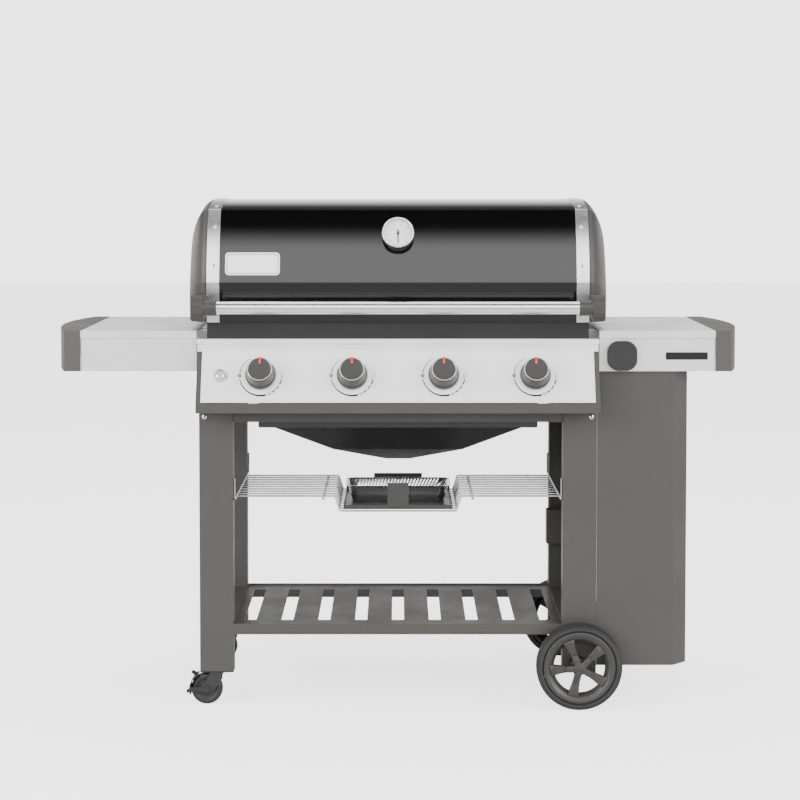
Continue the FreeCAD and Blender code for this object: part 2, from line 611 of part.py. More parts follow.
def tables():
    """The two side tables with their caps and brackets, and what is set in the right one."""
    across = ("table_inner", "table_outer")
    skin = "table_sheet"
    set_back = "table_front + fascia_set_back"
    sheets = [
        box("table_plate", across, ("table_front", "table_back"), (f"table_top - {skin}", "table_top")),
        box("table_lip", across, ("table_front", f"table_front + {skin}"), ("table_lip", "table_top")),
        box("table_step", across, ("table_front", f"{set_back} + {skin}"),
            ("table_lip", f"table_lip + {skin}")),
        box("table_fascia", across, (set_back, f"{set_back} + {skin}"), ("table_low", f"table_lip + {skin}")),
        box("table_rear", across, (f"table_back - {skin}", "table_back"), ("table_low + 40", "table_top")),
        box("table_inner_end", ("table_inner", f"table_inner + {skin}"), (set_back, "table_back"),
            ("table_low", "bracket_low - 2")),
    ]
    right = node("right_table_top", fuse("right_table_top", *sheets))
    node("left_table_top", mirrored("left_table_top", right))

    bulge = "cap_bulge - cap_corner"
    chord = "(table_back - table_front) / 2"
    sweep = f"(({chord})^2 + ({bulge})^2) / (2 * ({bulge}))"
    cap = pad("right_table_cap", "XY", [
        ("table_outer + seat_gap", "table_front"), ("table_outer + seat_gap", "table_back"),
        ("cap_corner", "table_back", sweep), ("cap_corner", "table_front"),
    ], ("table_low", "table_top + 1"))
    shelled(cap, "cap_wall", False, lambda normal: normal.z < -0.99 or normal.x < -0.99)
    node("table_caps", group("table_caps", cap, mirrored("left_table_cap", cap)))

    arms = []
    for depth in ("bracket_front", "bracket_back - bracket_width"):
        arm = tube("table_arm", ("rim_half + seat_gap", "table_outer - 2"),
                   (depth, f"{depth} + bracket_width"),
                   ("bracket_low", f"table_top - {skin} - seat_gap"), "x")
        arms += [arm, mirrored("left_table_arm", arm)]
    node("table_brackets", group("table_brackets", *arms))

    span = ("module_left", "module_left + module_size")
    node("sensor_module", pad("sensor_module", "XZ",
                              rounded(span, ("module_top - module_size", "module_top"), "module_round"),
                              (f"{set_back} - module_deep", f"{set_back} - seat_gap")))
    node("table_plate_badge", pad("table_plate_badge", "XZ",
                                  rounded(("plate_left", "plate_left + plate_long"),
                                          ("plate_low", "plate_low + plate_tall"), "2"),
                                  (f"{set_back} - seat_gap - plate_thick", f"{set_back} - seat_gap")))


def side_panel():
    """The folded sheet that hides the gas bottle, and the bracket box on the rear leg."""
    skin = "table_sheet"
    body = pad("side_sheet", "XY", [
        ("leg_outer + seat_gap", "cart_front"), ("side_bend", "cart_front"), ("side_outer", "side_bend_back"),
        ("side_outer", "side_back"), (f"side_outer - {skin}", "side_back"),
        (f"side_outer - {skin}", f"side_bend_back + 0.45 * {skin}"),
        (f"side_bend - 0.45 * {skin}", f"cart_front + {skin}"),
        ("leg_outer + seat_gap", f"cart_front + {skin}"),
    ], ("side_low", "side_high"))
    node("side_panel", body)
    front = "cart_back - leg_depth - seat_gap"
    node("leg_bracket_box", tube("leg_bracket_box", ("hanger_inner", "hanger_outer"),
                                 (f"{front} - hanger_deep", front),
                                 ("hanger_low", "hanger_high"), "z"))


def wheels():
    """The axle and the two big wheels on it."""
    ends = {"front": ("cart_front - wheel_clear - wheel_width", -1),
            "rear": ("cart_back + wheel_clear + wheel_width", 1)}
    at = ("wheel_x", "0", "wheel_radius")
    node("wheel_axle", rod(
        "wheel_axle", "y", "axle_radius",
        ("cart_front - wheel_clear - wheel_width + axle_in",
         "cart_back + wheel_clear + wheel_width - axle_in"),
        ("wheel_x", "wheel_radius"),
    ))
    for name, (face, out) in ends.items():
        # Places are measured from the wheel's outer face towards the leg.
        def deep(text, face=face, out=out):
            return f"({face}) - ({out}) * ({text})"

        tyre = [
            (deep("6"), "tyre_inner"), (deep("1"), "tyre_inner + 3"), (deep("1"), "tyre_inner + 8"),
            (deep("9"), "wheel_radius"), (deep("wheel_width - 9"), "wheel_radius"),
            (deep("wheel_width - 1"), "tyre_inner + 8"), (deep("wheel_width - 1"), "tyre_inner + 3"),
            (deep("wheel_width - 6"), "tyre_inner"),
        ]
        node(name + "_wheel_tyre", lathe(name + "_wheel_tyre", "y", tyre, at))
        ring = [
            (deep("4"), "rim_inner + 3"), (deep("4"), "tyre_inner - 0.2"),
            (deep("wheel_width - 4"), "tyre_inner - 0.2"), (deep("wheel_width - 4"), "rim_inner + 4"),
            (deep("30"), "rim_inner"), (deep("12"), "rim_inner"),
        ]
        bore = "axle_radius + running_gap"
        boss = [
            (deep("0"), "0"), (deep("0"), "boss_radius - 6"), (deep("4"), "boss_radius"),
            (deep("wheel_width - 2"), "boss_radius"),
            (deep("wheel_width + wheel_clear - 0.3"), "axle_radius + 6"),
            (deep("wheel_width + wheel_clear - 0.3"), bore), (deep("axle_in - 1"), bore),
            (deep("axle_in - 1"), "0"),
        ]
        pieces = [lathe("wheel_rim", "y", ring, at), lathe("wheel_boss", "y", boss, at)]
        near, far = sorted((deep("8"), deep("20")), key=value)
        for step in range(int(SIZES["spoke_count"])):
            spoke = box("wheel_spoke", ("0", "rim_inner + 2"), (near, far), ("0", "spoke_width"))
            angle = 54 + step * 360 / SIZES["spoke_count"]
            spoke.Placement.Rotation = FreeCAD.Rotation(Y_AXIS, angle)
            # A spoke starts at the boss and is centred on its own ray.
            turned = math.radians(angle)
            bind(spoke, "Placement.Base.x", f"wheel_x + ({math.cos(turned)}) * (boss_radius - 3)"
                                            f" - ({math.sin(turned)}) * spoke_width / 2")
            bind(spoke, "Placement.Base.z", f"wheel_radius - ({math.sin(turned)}) * (boss_radius - 3)"
                                            f" - ({math.cos(turned)}) * spoke_width / 2")
            bind(spoke, "Length", "rim_inner - boss_radius + 6")
            pieces.append(spoke)
        node(name + "_wheel_hub", fuse(name + "_wheel_hub", *pieces))


def castors():
    """The two swivelling castors, each with a fork, a wheel and a brake lever."""
    for name, middle in (("front", "cart_front + leg_depth / 2"), ("rear", "cart_back - leg_depth / 2")):
        wheel_x = "castor_x - castor_trail"
        centre = (wheel_x, middle, "castor_radius")
        half = "castor_width / 2"
        profile = [
            (f"-{half}", "castor_pin + running_gap"), (f"-{half}", "castor_radius - 5"),
            (f"-{half} + 4", "castor_radius"), (f"{half} - 4", "castor_radius"), (half, "castor_radius - 5"),
            (half, "castor_pin + running_gap"),
        ]
        node(name + "_castor_wheel", lathe(name + "_castor_wheel", "y", profile, centre))

        plate_high = "leg_bottom - cap_plate - seat_gap"
        pieces = [
            rod("crown", "z", "22", (f"{plate_high} - fork_sheet", plate_high), ("castor_x", middle)),
            rod("crown_pin", "z", "stem_pin", (f"{plate_high} - 1", "leg_bottom + cap_plug - 1"),
                ("castor_x", middle)),
            rod("castor_axle", "y", "castor_pin",
                (f"{middle} - {half} - castor_gap - 2 * fork_sheet - 0.6",
                 f"{middle} + {half} + castor_gap + 2 * fork_sheet + 0.6"), (wheel_x, "castor_radius")),
        ]
        for sign in SIDES.values():
            near, far = f"{half} + castor_gap", f"{half} + castor_gap + fork_sheet"
            span = [f"{middle} + {sign} * ({edge})" for edge in (near, far)][::sign]
            pieces.append(pad("fork_side", "XZ", [
                ("castor_x - 16", plate_high), ("castor_x + 12", plate_high),
                ("castor_x + 10", "castor_radius + 18"),
                (f"{wheel_x} + 9", "castor_radius - 9"), (f"{wheel_x} - 9", "castor_radius - 9"),
                (f"{wheel_x} - 9", "castor_radius + 6"),
            ], span))
        node(name + "_castor_fork", fuse(name + "_castor_fork", *pieces))

        reach = f"({half} + castor_gap + fork_sheet + seat_gap)"
        width = (f"{middle} - {reach} - fork_sheet + 0.6", f"{middle} + {reach} + fork_sheet - 0.6")
        across = (wheel_x, "castor_radius")
        hoop = cut("brake_hoop", rod("brake_outer", "y", "brake_radius + brake_sheet", width, across),
                   rod("brake_inner", "y", "brake_radius", width, across))
        wedge = pad("brake_part", "XZ", [
            (wheel_x, "castor_radius"), (f"{wheel_x} - 60", "castor_radius - 18"),
            (f"{wheel_x} - 60", "castor_radius + 60"),
            (f"{wheel_x} - 36", "castor_radius + 60"),
        ], width)
        arc = doc.addObject("Part::Common", "brake_arc")
        arc.Base, arc.Tool = hoop, wedge
        tabs = [
            pad("upper_tab", "XZ", [
                (f"{wheel_x} - 27", "castor_radius + 30"), (f"{wheel_x} - 38", "castor_radius + 39"),
                (f"{wheel_x} - 33", "castor_radius + 40.5"), (f"{wheel_x} - 22", "castor_radius + 34"),
            ], (f"{middle} - 9", f"{middle} + 9")),
            box("lower_tab", (f"{wheel_x} - 49", f"{wheel_x} - brake_radius - 1"),
                (f"{middle} - 9", f"{middle} + 9"),
                ("castor_radius - 10", "castor_radius - 5")),
        ]
        arms = []
        for sign in SIDES.values():
            near, far = reach, f"{reach} + fork_sheet - 0.6"
            span = [f"{middle} + {sign} * ({edge})" for edge in (near, far)][::sign]
            arm = box("brake_arm", (f"{wheel_x} - brake_radius - 1", wheel_x), span,
                      ("castor_radius - 6", "castor_radius + 6"))
            eye = rod("brake_eye", "y", "castor_pin + 5", span, across)
            arms += [arm, eye]
        hole = rod("brake_hole", "y", "castor_pin + running_gap", (f"{middle} - 40", f"{middle} + 40"),
                   across)
        node(name + "_castor_brake", cut(name + "_castor_brake", fuse("brake_whole", arc, *tabs, *arms),
                                         hole))


def bent_wire(name, radius, points, bend):
    """A round wire along straight runs with rounded bends, as a shape."""
    edges = []
    start = points[0]
    for before, corner, after in zip(points, points[1:], points[2:]):
        back, ahead = (before - corner).normalize(), (after - corner).normalize()
        half_turn = (math.pi - back.getAngle(ahead)) / 2
        reach = bend * math.tan(half_turn)
        first, last = corner + back * reach, corner + ahead * reach
        inward = (back + ahead).normalize()
        middle = corner + inward * (bend / math.cos(half_turn) - bend)
        edges += [Part.LineSegment(start, first).toShape(), Part.Arc(first, middle, last).toShape()]
        start = last
    edges.append(Part.LineSegment(start, points[-1]).toShape())
    path = Part.Wire(edges)
    ring = Part.Wire([Part.Circle(points[0], points[1] - points[0], radius).toShape()])
    return path.makePipeShell([ring], True, True)


def under_grill():
    """The wire rack, the catch pan, the foil pan and the grease tray."""
    radius = value("wire_radius")
    end_x = value("leg_inner - seat_gap - wire_radius")
    high, low = value("wire_z"), value("wire_dip")
    wires = []
    for index in range(SIZES["wire_count"]):
        depth = value(f"wire_front + {index} * wire_pitch")
        run = [(-end_x, high), (-value("basket_top"), high), (-value("basket_foot"), low),
               (value("basket_foot"), low), (value("basket_top"), high), (end_x, high)]
        wires.append(bent_wire("wire", radius, [FreeCAD.Vector(x, depth, z) for x, z in run], 3 * radius))
    last = value("wire_front + (wire_count - 1) * wire_pitch")
    for x in (-value("cross_x"), value("cross_x")):
        under = high - radius - value("cross_radius") + 0.8
        start = FreeCAD.Vector(x, value("wire_front") - 8, under)
        wires.append(Part.makeCylinder(value("cross_radius"), last - start.y + 8, start, Y_AXIS))
    front, back = value("cart_front + 14"), value("cart_back - 14")
    hook = high + 52
    for x in (-end_x, end_x):
        run = [(front, hook), (front, high), (back, high), (back, hook)]
        wires.append(bent_wire("end_wire", radius, [FreeCAD.Vector(x, y, z) for y, z in run], 3 * radius))
    rack = doc.addObject("Part::Feature", "wire_rack")
    rack.Shape = wires[0].multiFuse(wires[1:])
    node("wire_rack", rack)

    floor = "wire_dip + wire_radius + seat_gap"
    holder = ("-holder_half", "holder_half", "holder_front", "holder_back")
    inner = [f"({edge}) {'+' if index % 2 == 0 else '-'} holder_sheet" for index, edge in enumerate(holder)]
    tray = cut("holder_tray", box("holder_outside", holder[:2], holder[2:], (floor, "holder_high")),
               box("holder_hollow", inner[:2], inner[2:], (f"{floor} + holder_sheet", "holder_high + 10")))
    front_tab = box("holder_tab", ("-25.5", "25.5"), ("holder_front - 1", "holder_front + 1"),
                    ("holder_high - 5", "holder_high + 54"))
    rear_tab = box("holder_rear_tab", ("-62", "62"), ("holder_back - 1.5", "holder_back"),
                   ("holder_high - 5", "wire_z + 8"))
    node("catch_pan", fuse("catch_pan", tray, front_tab, rear_tab))

    base = f"{floor} + holder_sheet + seat_gap"
    top = ("-pan_half", "pan_half", "pan_front", "pan_back")
    foot = [f"({edge}) {'+' if index % 2 == 0 else '-'} 14" for index, edge in enumerate(top)]
    inner_top = [f"({edge}) {'+' if index % 2 == 0 else '-'} pan_sheet" for index, edge in enumerate(top)]
    inner_foot = [f"({edge}) {'+' if index % 2 == 0 else '-'} pan_sheet" for index, edge in enumerate(foot)]
    brim = [f"({edge}) {'-' if index % 2 == 0 else '+'} 5" for index, edge in enumerate(top)]
    pan = fuse("pan_mass", frustum("pan_outside", foot, top, (base, "pan_high")),
               box("pan_brim", brim[:2], brim[2:], ("pan_high - pan_sheet", "pan_high")))
    node("foil_pan", cut("foil_pan", pan, frustum("pan_hollow", inner_foot, inner_top,
                                                  (f"{base} + pan_sheet", "pan_high + 0.1"))))

    skin = "tray_sheet"
    mouth = ("-funnel_top", "funnel_top", "tray_front + 20", "tray_back - 20")
    middle = ("-funnel_mid", "funnel_mid", "-100", "90")
    spout = ("-funnel_foot", "funnel_foot", "-35", "25")
    level = "tray_low + tray_sheet + 1.3"

    def shrink(edges):
        return [f"({edge}) {'+' if index % 2 == 0 else '-'} {skin}" for index, edge in enumerate(edges)]

    outer = fuse("tray_mass", frustum("tray_upper", middle, mouth, ("funnel_mid_z", level)),
                 frustum("tray_lower", spout, middle, ("funnel_foot_z", "funnel_mid_z + 0.01")),
                 box("tray_brim", ("-tray_half", "tray_half"), ("tray_front", "tray_back"),
                     (f"{level} - {skin}", level)),
                 box("tray_face", ("-tray_half", "tray_half"), ("tray_front", f"tray_front + {skin}"),
                     ("tray_low", "tray_high")))
    inner = [frustum("tray_upper_hollow", shrink(middle), shrink(mouth), ("funnel_mid_z", f"{level} + 0.01")),
             frustum("tray_lower_hollow", shrink(spout), shrink(middle),
                     ("funnel_foot_z - 0.01", "funnel_mid_z + 0.02"))]
    node("grease_tray", cut("grease_tray", outer, *inner))


LID_CORNERS = [
    ("lid_front_low", "lid_low"), ("lid_front_bend", "bend_z", "front_curve"),
    ("shoulder_y", "shoulder_z", "top_curve"),
    ("crest_y", "crest_z",
     "((lid_rear - crest_y)^2 + (crest_z - lid_rear_z)^2) / (2 * (crest_z - lid_rear_z))"),
    ("lid_rear", "lid_rear_z"), ("lid_rear_low", "lid_low"),
]


def lid_place(step, share):
    """A point on one of the lid's curves as (y, z), and the outward direction there."""
    start, end = LID_CORNERS[step], LID_CORNERS[step + 1]
    ends = [(value(corner[0]), value(corner[1])) for corner in (start, end)]
    return arc_point(*ends, value(start[2]), share)


def on_lid(thing, x, step, share, lift=0.0):
    """Stand a piece, whose axis points to its own -Y, on the lid's curve."""
    (depth, height), away = lid_place(step, share)
    place = FreeCAD.Vector(value(x), depth + away[0] * lift, height + away[1] * lift)
    lean_back = math.degrees(math.atan2(away[1], -away[0]))
    for axis in "xyz":
        thing.setExpression("Placement.Base." + axis, None)
    thing.Placement = FreeCAD.Placement(place, FreeCAD.Rotation(X_AXIS, -lean_back))
    return thing


def cheek_shape(depth, shrink):
    """The domed end of the lid as a loft of ever smaller lid outlines."""
    middle = value("(lid_rear + lid_front_bend) / 2")
    base = value("lid_low")
    sections = []
    for step in range(7):
        share = math.sin(math.pi / 2 * step / 6)
        left = 1 - math.sqrt(max(0.0, 1 - share * share))
        tall = (value("cheek_flat") + (1 - value("cheek_flat")) * (1 - left)) * (1 - shrink)
        deep = (1 - value("cheek_narrow") * left) * (1 - shrink)

        def place(point):
            return FreeCAD.Vector(depth * share, middle + (point[0] - middle) * deep,
                                  base + (point[1] - base) * tall)

        edges = []
        for index, corner in enumerate(LID_CORNERS):
            start = (value(corner[0]), value(corner[1]))
            after = LID_CORNERS[(index + 1) % len(LID_CORNERS)]
            end = (value(after[0]), value(after[1]))
            if len(corner) == 3:
                halfway = arc_point(start, end, value(corner[2]))[0]
                edges.append(Part.Arc(place(start), place(halfway), place(end)).toShape())
            else:
                edges.append(Part.LineSegment(place(start), place(end)).toShape())
        sections.append(Part.Wire(edges))
    return Part.makeLoft(sections, True, False)


def lid():
    """The shell with its trims, cheeks, handle, badge, hinge and thermometer."""
    def end_or_foot(normal):
        return abs(normal.x) > 0.99 or normal.z < -0.99

    shell = shelled(pad("lid_sheet", "YZ", LID_CORNERS, ("-lid_half", "lid_half")), "lid_sheet", False,
                    end_or_foot)
    lugs, pins = [], []
    for sign in SIDES.values():
        span = [f"{sign} * ({edge})" for edge in ("lug_inner", "lug_inner + lug_thick")][::sign]
        lugs.append(box("lid_lug", span, ("hinge_y - lug_radius", "lid_rear_low + 2"),
                        ("hinge_z", "lid_low + 30")))
        lugs.append(rod("lid_lug_end", "x", "lug_radius", span, ("hinge_y", "hinge_z")))
        pin = [f"{sign} * ({edge})" for edge in ("lug_inner - 3", "lug_inner + 2 * lug_thick + 3")][::sign]
        pins.append(rod("hinge_pin", "x", "hinge_pin", pin, ("hinge_y", "hinge_z")))
    hole = rod("lid_hinge_hole", "x", "hinge_pin + running_gap", ("-rim_half", "rim_half"),
               ("hinge_y", "hinge_z"))
    node("lid_shell", cut("lid_shell", fuse("lid_shell_whole", shell, *lugs), hole))
    node("hinge_pins", group("hinge_pins", *pins))

    trim = shelled(pad("lid_trim", "YZ", LID_CORNERS, ("trim_inner", "lid_half")), "trim_sheet", True,
                   end_or_foot)
    node("lid_trims", group("lid_trims", trim, mirrored("left_trim", trim)))

    cheek = doc.addObject("Part::Feature", "right_cheek")
    hollow = cheek_shape(value("cheek_deep - cheek_wall"), 0.018)
    hollow.translate(FreeCAD.Vector(-0.01, 0, -1))
    cheek.Shape = cheek_shape(value("cheek_deep"), 0).cut(hollow)
    bind(cheek, "Placement.Base.x", "cheek_inner")
    solid_cheek = doc.addObject("Part::Feature", "cheek_mass")
    solid_cheek.Shape = cheek_shape(value("cheek_deep"), 0)
    bind(solid_cheek, "Placement.Base.x", "cheek_inner")
    node("lid_cheeks", group("lid_cheeks", cheek, mirrored("left_cheek", cheek)))

    socket = rod("handle_socket", "x", "socket_radius", ("socket_inner", "socket_outer"),
                 ("handle_y", "handle_z"))
    arm = pad("handle_arm", "YZ", [
        ("-215", "arm_high - 10"), ("arm_front + 14", "arm_high - 6", "-46"), ("arm_front", "handle_z + 8"),
        ("arm_front", "handle_z - 12", "-46"), ("arm_front + 18", "arm_low"), ("-215", "arm_low + 16"),
    ], ("socket_outer - 0.2", "arm_outer"))
    seat = rod("socket_bore", "x", "handle_radius + running_gap", ("socket_inner - 1", "socket_outer - 3"),
               ("handle_y", "handle_z"))
    bracket = cut("handle_bracket", fuse("bracket_mass", socket, arm), seat, solid_cheek)
    node("handle_brackets", group("handle_brackets", bracket, mirrored("left_bracket", bracket)))
    node("handle_tube", cut("handle_tube",
                            rod("tube_outside", "x", "handle_radius",
                                ("-socket_outer + 3.3", "socket_outer - 3.3"),
                                ("handle_y", "handle_z")),
                            rod("tube_bore", "x", "handle_radius - 1.5", ("-socket_outer", "socket_outer"),
                                ("handle_y", "handle_z"))))

    screws = []
    dome = [("-screw_height", "0"), ("-screw_height", "screw_radius * 0.4", "screw_radius * 1.3"),
            ("0", "screw_radius"), ("0", "0")]
    for step, share in ((1, 0.22), (1, 0.74), (2, 0.15), (2, 0.7)):
        for x in ("-screw_x", "screw_x"):
            screws.append(on_lid(lathe("trim_screw", "y", dome), x, step, share, value("trim_sheet")))
    node("lid_screws", group("lid_screws", *screws))

    badge = pad("lid_badge", "XZ", rounded(("-badge_long / 2", "badge_long / 2"),
                                           ("-badge_tall / 2", "badge_tall / 2"), "9"),
                ("-badge_thick", "0"))
    node("lid_badge", on_lid(badge, "badge_x", 1, value("badge_share"), value("badge_thick") / 2 + 0.3))
    thermometer()


def thermometer():
    """The case, dial, needle and glass that stand on the lid's front."""
    lift = 0.3

    def gauge(thing):
        return on_lid(thing, "0", 1, value("gauge_share"), lift)

    neck, face = "gauge_neck_long", "gauge_neck_long + gauge_deep"
    case = [
        ("0", "0"), (f"-({neck}) - 3", "0"), (f"-({neck}) - 3", "dial_radius + seat_gap"),
        (f"-({face})", "dial_radius + seat_gap"), (f"-({face})", "gauge_radius - 2"),
        (f"-({face}) + 3", "gauge_radius"), (f"-({neck}) - 2", "gauge_radius"),
        (f"-({neck}) + 4", "gauge_neck"), ("0", "gauge_neck"),
    ]
    node("thermometer_case", gauge(lathe("thermometer_case", "y", case)))
    dial = [(f"-({neck}) - 4.5", "needle_pin + running_gap"), (f"-({neck}) - 4.5", "dial_radius"),
            (f"-({neck}) - 3.3", "dial_radius"), (f"-({neck}) - 3.3", "needle_pin + running_gap")]
    node("thermometer_dial", gauge(lathe("thermometer_dial", "y", dial)))
    glass = [(f"-({face}) + 1", "0"), (f"-({face}) + 1", "dial_radius"), (f"-({face}) + 3", "dial_radius"),
             (f"-({face}) + 3", "0")]
    node("thermometer_glass", gauge(lathe("thermometer_glass", "y", glass)))
    pin = lathe("needle_pin", "y", [(f"-({neck}) - 7.5", "0"), (f"-({neck}) - 7.5", "3"),
                                    (f"-({neck}) - 5", "3"),
                                    (f"-({neck}) - 5", "needle_pin"), (f"-({neck}) - 3.4", "needle_pin"),
                                    (f"-({neck}) - 3.4", "0")])
    hand = pad("needle_hand", "XZ", [("-1.8", "9"), ("1.8", "9"), ("0.7", "-24"), ("-0.7", "-24")],
               (f"-({neck}) - 7", f"-({neck}) - 5.6"))
    node("thermometer_needle", gauge(fuse("thermometer_needle", pin, hand)))


def main():
    """Build the grill, test every sub-part and write one file for each."""
    for build in (cart, cookbox, control_panel, tables, side_panel, wheels, castors, under_grill, lid):
        build()
    doc.recompute()
    faults = [item.Label for item in doc.Objects if {"Invalid", "Error"} & set(item.State)]
    faults += [item.Label for item in NODES if item.Shape.isNull() or not item.Shape.isValid()]
    if faults:
        raise RuntimeError("failed: " + ", ".join(faults))
    os.makedirs("parts", exist_ok=True)
    whole = FreeCAD.BoundBox()
    for item in NODES:
        item.Shape.exportStep(os.path.join("parts", item.Label + ".step"))
        whole.add(item.Shape.BoundBox)
        size = item.Shape.BoundBox
        print(f"{item.Label}: {len(item.Shape.Solids)} solid(s), {item.Shape.Volume / 1000:.1f} cm3,"
              f" x {size.XMin:.1f} {size.XMax:.1f} y {size.YMin:.1f} {size.YMax:.1f}"
              f" z {size.ZMin:.1f} {size.ZMax:.1f}")
    print(len(NODES), "sub-parts", whole)


main()
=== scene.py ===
"""A gas barbecue grill: its finishes and its finer pieces, built round the fixed frame.

Lengths are in metres. +X is to the right of someone at the grill, the front faces -Y, +Z is up.
"""

import json
import logging
import math
from collections.abc import Callable, Sequence
from dataclasses import dataclass
from enum import Enum

import bmesh
import bpy
from mathutils import Matrix, Vector


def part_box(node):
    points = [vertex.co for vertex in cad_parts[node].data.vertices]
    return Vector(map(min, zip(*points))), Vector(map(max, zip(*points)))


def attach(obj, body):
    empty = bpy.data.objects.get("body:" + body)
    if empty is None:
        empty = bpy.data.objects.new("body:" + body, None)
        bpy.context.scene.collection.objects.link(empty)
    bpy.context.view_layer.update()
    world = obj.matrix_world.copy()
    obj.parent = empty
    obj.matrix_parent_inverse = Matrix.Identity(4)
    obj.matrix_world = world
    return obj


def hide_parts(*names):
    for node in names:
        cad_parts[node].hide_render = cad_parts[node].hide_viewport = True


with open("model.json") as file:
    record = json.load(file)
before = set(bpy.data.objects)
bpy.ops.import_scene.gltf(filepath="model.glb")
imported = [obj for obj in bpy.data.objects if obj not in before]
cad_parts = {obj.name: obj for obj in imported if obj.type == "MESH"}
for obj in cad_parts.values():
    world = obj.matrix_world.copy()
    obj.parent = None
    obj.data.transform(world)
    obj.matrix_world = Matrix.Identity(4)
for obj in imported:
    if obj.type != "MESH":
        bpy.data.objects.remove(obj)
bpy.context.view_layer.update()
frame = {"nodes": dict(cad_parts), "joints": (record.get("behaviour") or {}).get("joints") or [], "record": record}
LOG = logging.getLogger("grill")
Colour = tuple[float, float, float]
Outline = Sequence[tuple[float, float]]
Points = list[tuple[float, float]]
Socket = bpy.types.NodeSocket
Sockets = dict[str, Socket]
MM = 0.001


class Tree:
    """Adds nodes to one shader tree and joins them."""

    def __init__(self, tree: bpy.types.NodeTree) -> None:
        """Empties the tree and keeps it.

        Args:
            tree: The tree to fill.
        """
        self.tree = tree
        tree.nodes.clear()

    def add(self, kind: str, inputs: dict[str | int, object], **options: object) -> bpy.types.Node:
        """Adds a node, sets its options, and fills or joins its inputs.

        Args:
            kind: Blender's name for the type of node.
            inputs: Input name or number, with its value or another node's output.
            options: Settings of the node itself.

        Returns:
            The new node.
        """
        node = self.tree.nodes.new(kind)
        for key, value in options.items():
            setattr(node, key, value)
        for key, value in inputs.items():
            if isinstance(value, Socket):
                self.tree.links.new(value, node.inputs[key])
            else:
                node.inputs[key].default_value = value
        return node

    def maths(self, operation: str, *values: object) -> Socket:
        """Adds a Math node and returns its output.

        Args:
            operation: What the node works out.
            values: Its inputs in order, as numbers or outputs.

        Returns:
            The result's socket.
        """
        return self.add("ShaderNodeMath", dict(enumerate(values)), operation=operation).outputs[0]

    def noise(self, place: Socket, scale: object, detail: float = 2.0) -> Socket:
        """Adds a noise texture and returns its grey value.

        Args:
            place: The coordinates to read it at.
            scale: Bumps per metre, as a number or an output.
            detail: How many finer layers it has.

        Returns:
            The value's socket, from 0 to 1.
        """
        inputs = {"Vector": place, "Scale": scale, "Detail": detail}
        return self.add("ShaderNodeTexNoise", inputs).outputs[0]

    def mix(self, share: object, first: object, second: object) -> Socket:
        """Mixes two colours and returns the result's socket."""
        return self.add("ShaderNodeMix", {0: share, 6: first, 7: second}, data_type="RGBA").outputs[2]

    def stretch(self, value: Socket, low: float, high: float) -> Socket:
        """Spreads a grey value between two limits and returns its socket."""
        inputs = {"Value": value, "From Min": 0.3, "From Max": 0.7, "To Min": low, "To Max": high}
        return self.add("ShaderNodeMapRange", inputs).outputs[0]


def shared_effect(
    name: str, inputs: dict[str, float], outputs: dict[str, str], fill: Callable[[Tree, dict], dict]
) -> bpy.types.NodeTree:
    """Builds a shader node group once.

    Args:
        name: The group's name.
        inputs: Each numeric input with its default.
        outputs: Each output with its socket type.
        fill: Takes the tree and the input sockets, and returns the sockets to put out.

    Returns:
        The group, ready to place in a material.
    """
    group = bpy.data.node_groups.new(name, "ShaderNodeTree")
    for label, default in inputs.items():
        socket = group.interface.new_socket(name=label, in_out="INPUT", socket_type="NodeSocketFloat")
        socket.default_value = default
    for label, kind in outputs.items():
        group.interface.new_socket(name=label, in_out="OUTPUT", socket_type=kind)
    tree = Tree(group)
    entry = tree.add("NodeGroupInput", {})
    results = fill(tree, {label: entry.outputs[label] for label in inputs})
    tree.add("NodeGroupOutput", results)
    return group


def fill_peel(tree: Tree, given: Sockets) -> Sockets:
    """Draws the fine round bumps of sprayed paint, moulded plastic or a casting."""
    place = tree.add("ShaderNodeTexCoord", {}).outputs["Object"]
    fine = tree.noise(place, given["Scale"], 1.0)
    coarse = tree.noise(place, tree.maths("MULTIPLY", given["Scale"], 0.23), 2.0)
    height = tree.maths("ADD", tree.maths("MULTIPLY", fine, 0.6), tree.maths("MULTIPLY", coarse, 0.4))
    return {"Value": fine, "Height": height}


def fill_brushing(tree: Tree, given: Sockets) -> Sockets:
    """Draws fine scratches that run along X, in bands of different strength."""
    place = tree.add("ShaderNodeTexCoord", {}).outputs["Object"]
    along = tree.add("ShaderNodeVectorMath", {0: place, 1: (0.02, 1.0, 1.0)}, operation="MULTIPLY").outputs[0]
    lines = tree.noise(along, given["Scale"], 3.0)
    bands = tree.noise(along, tree.maths("MULTIPLY", given["Scale"], 0.08), 1.0)
    height = tree.maths("MULTIPLY", lines, tree.stretch(bands, 0.4, 1.0))
    return {"Value": lines, "Height": height}


def fill_mottle(tree: Tree, given: Sockets) -> Sockets:
    """Draws soft patches, as from handling, dust and uneven finish."""
    place = tree.add("ShaderNodeTexCoord", {}).outputs["Object"]
    broad = tree.noise(place, given["Scale"], 4.0)
    spots = tree.noise(place, tree.maths("MULTIPLY", given["Scale"], 9.0), 2.0)
    both = tree.maths("ADD", tree.maths("MULTIPLY", broad, 0.75), tree.maths("MULTIPLY", spots, 0.25))
    return {"Mask": tree.stretch(both, 0.0, 1.0)}


def fill_edges(tree: Tree, given: Sockets) -> Sockets:
    """Rounds sharp edges by a radius and marks where they are, for the painted highlight along them."""
    rounded = tree.add("ShaderNodeBevel", {"Radius": given["Radius"]}, samples=4).outputs[0]
    flat = tree.add("ShaderNodeNewGeometry", {}).outputs["Normal"]
    facing = tree.add("ShaderNodeVectorMath", {0: rounded, 1: flat}, operation="DOT_PRODUCT").outputs["Value"]
    mask = tree.maths("MULTIPLY", tree.maths("SUBTRACT", 1.0, facing), 4.0)
    clamped = tree.maths("MINIMUM", mask, 1.0)
    return {"Mask": clamped, "Normal": rounded}


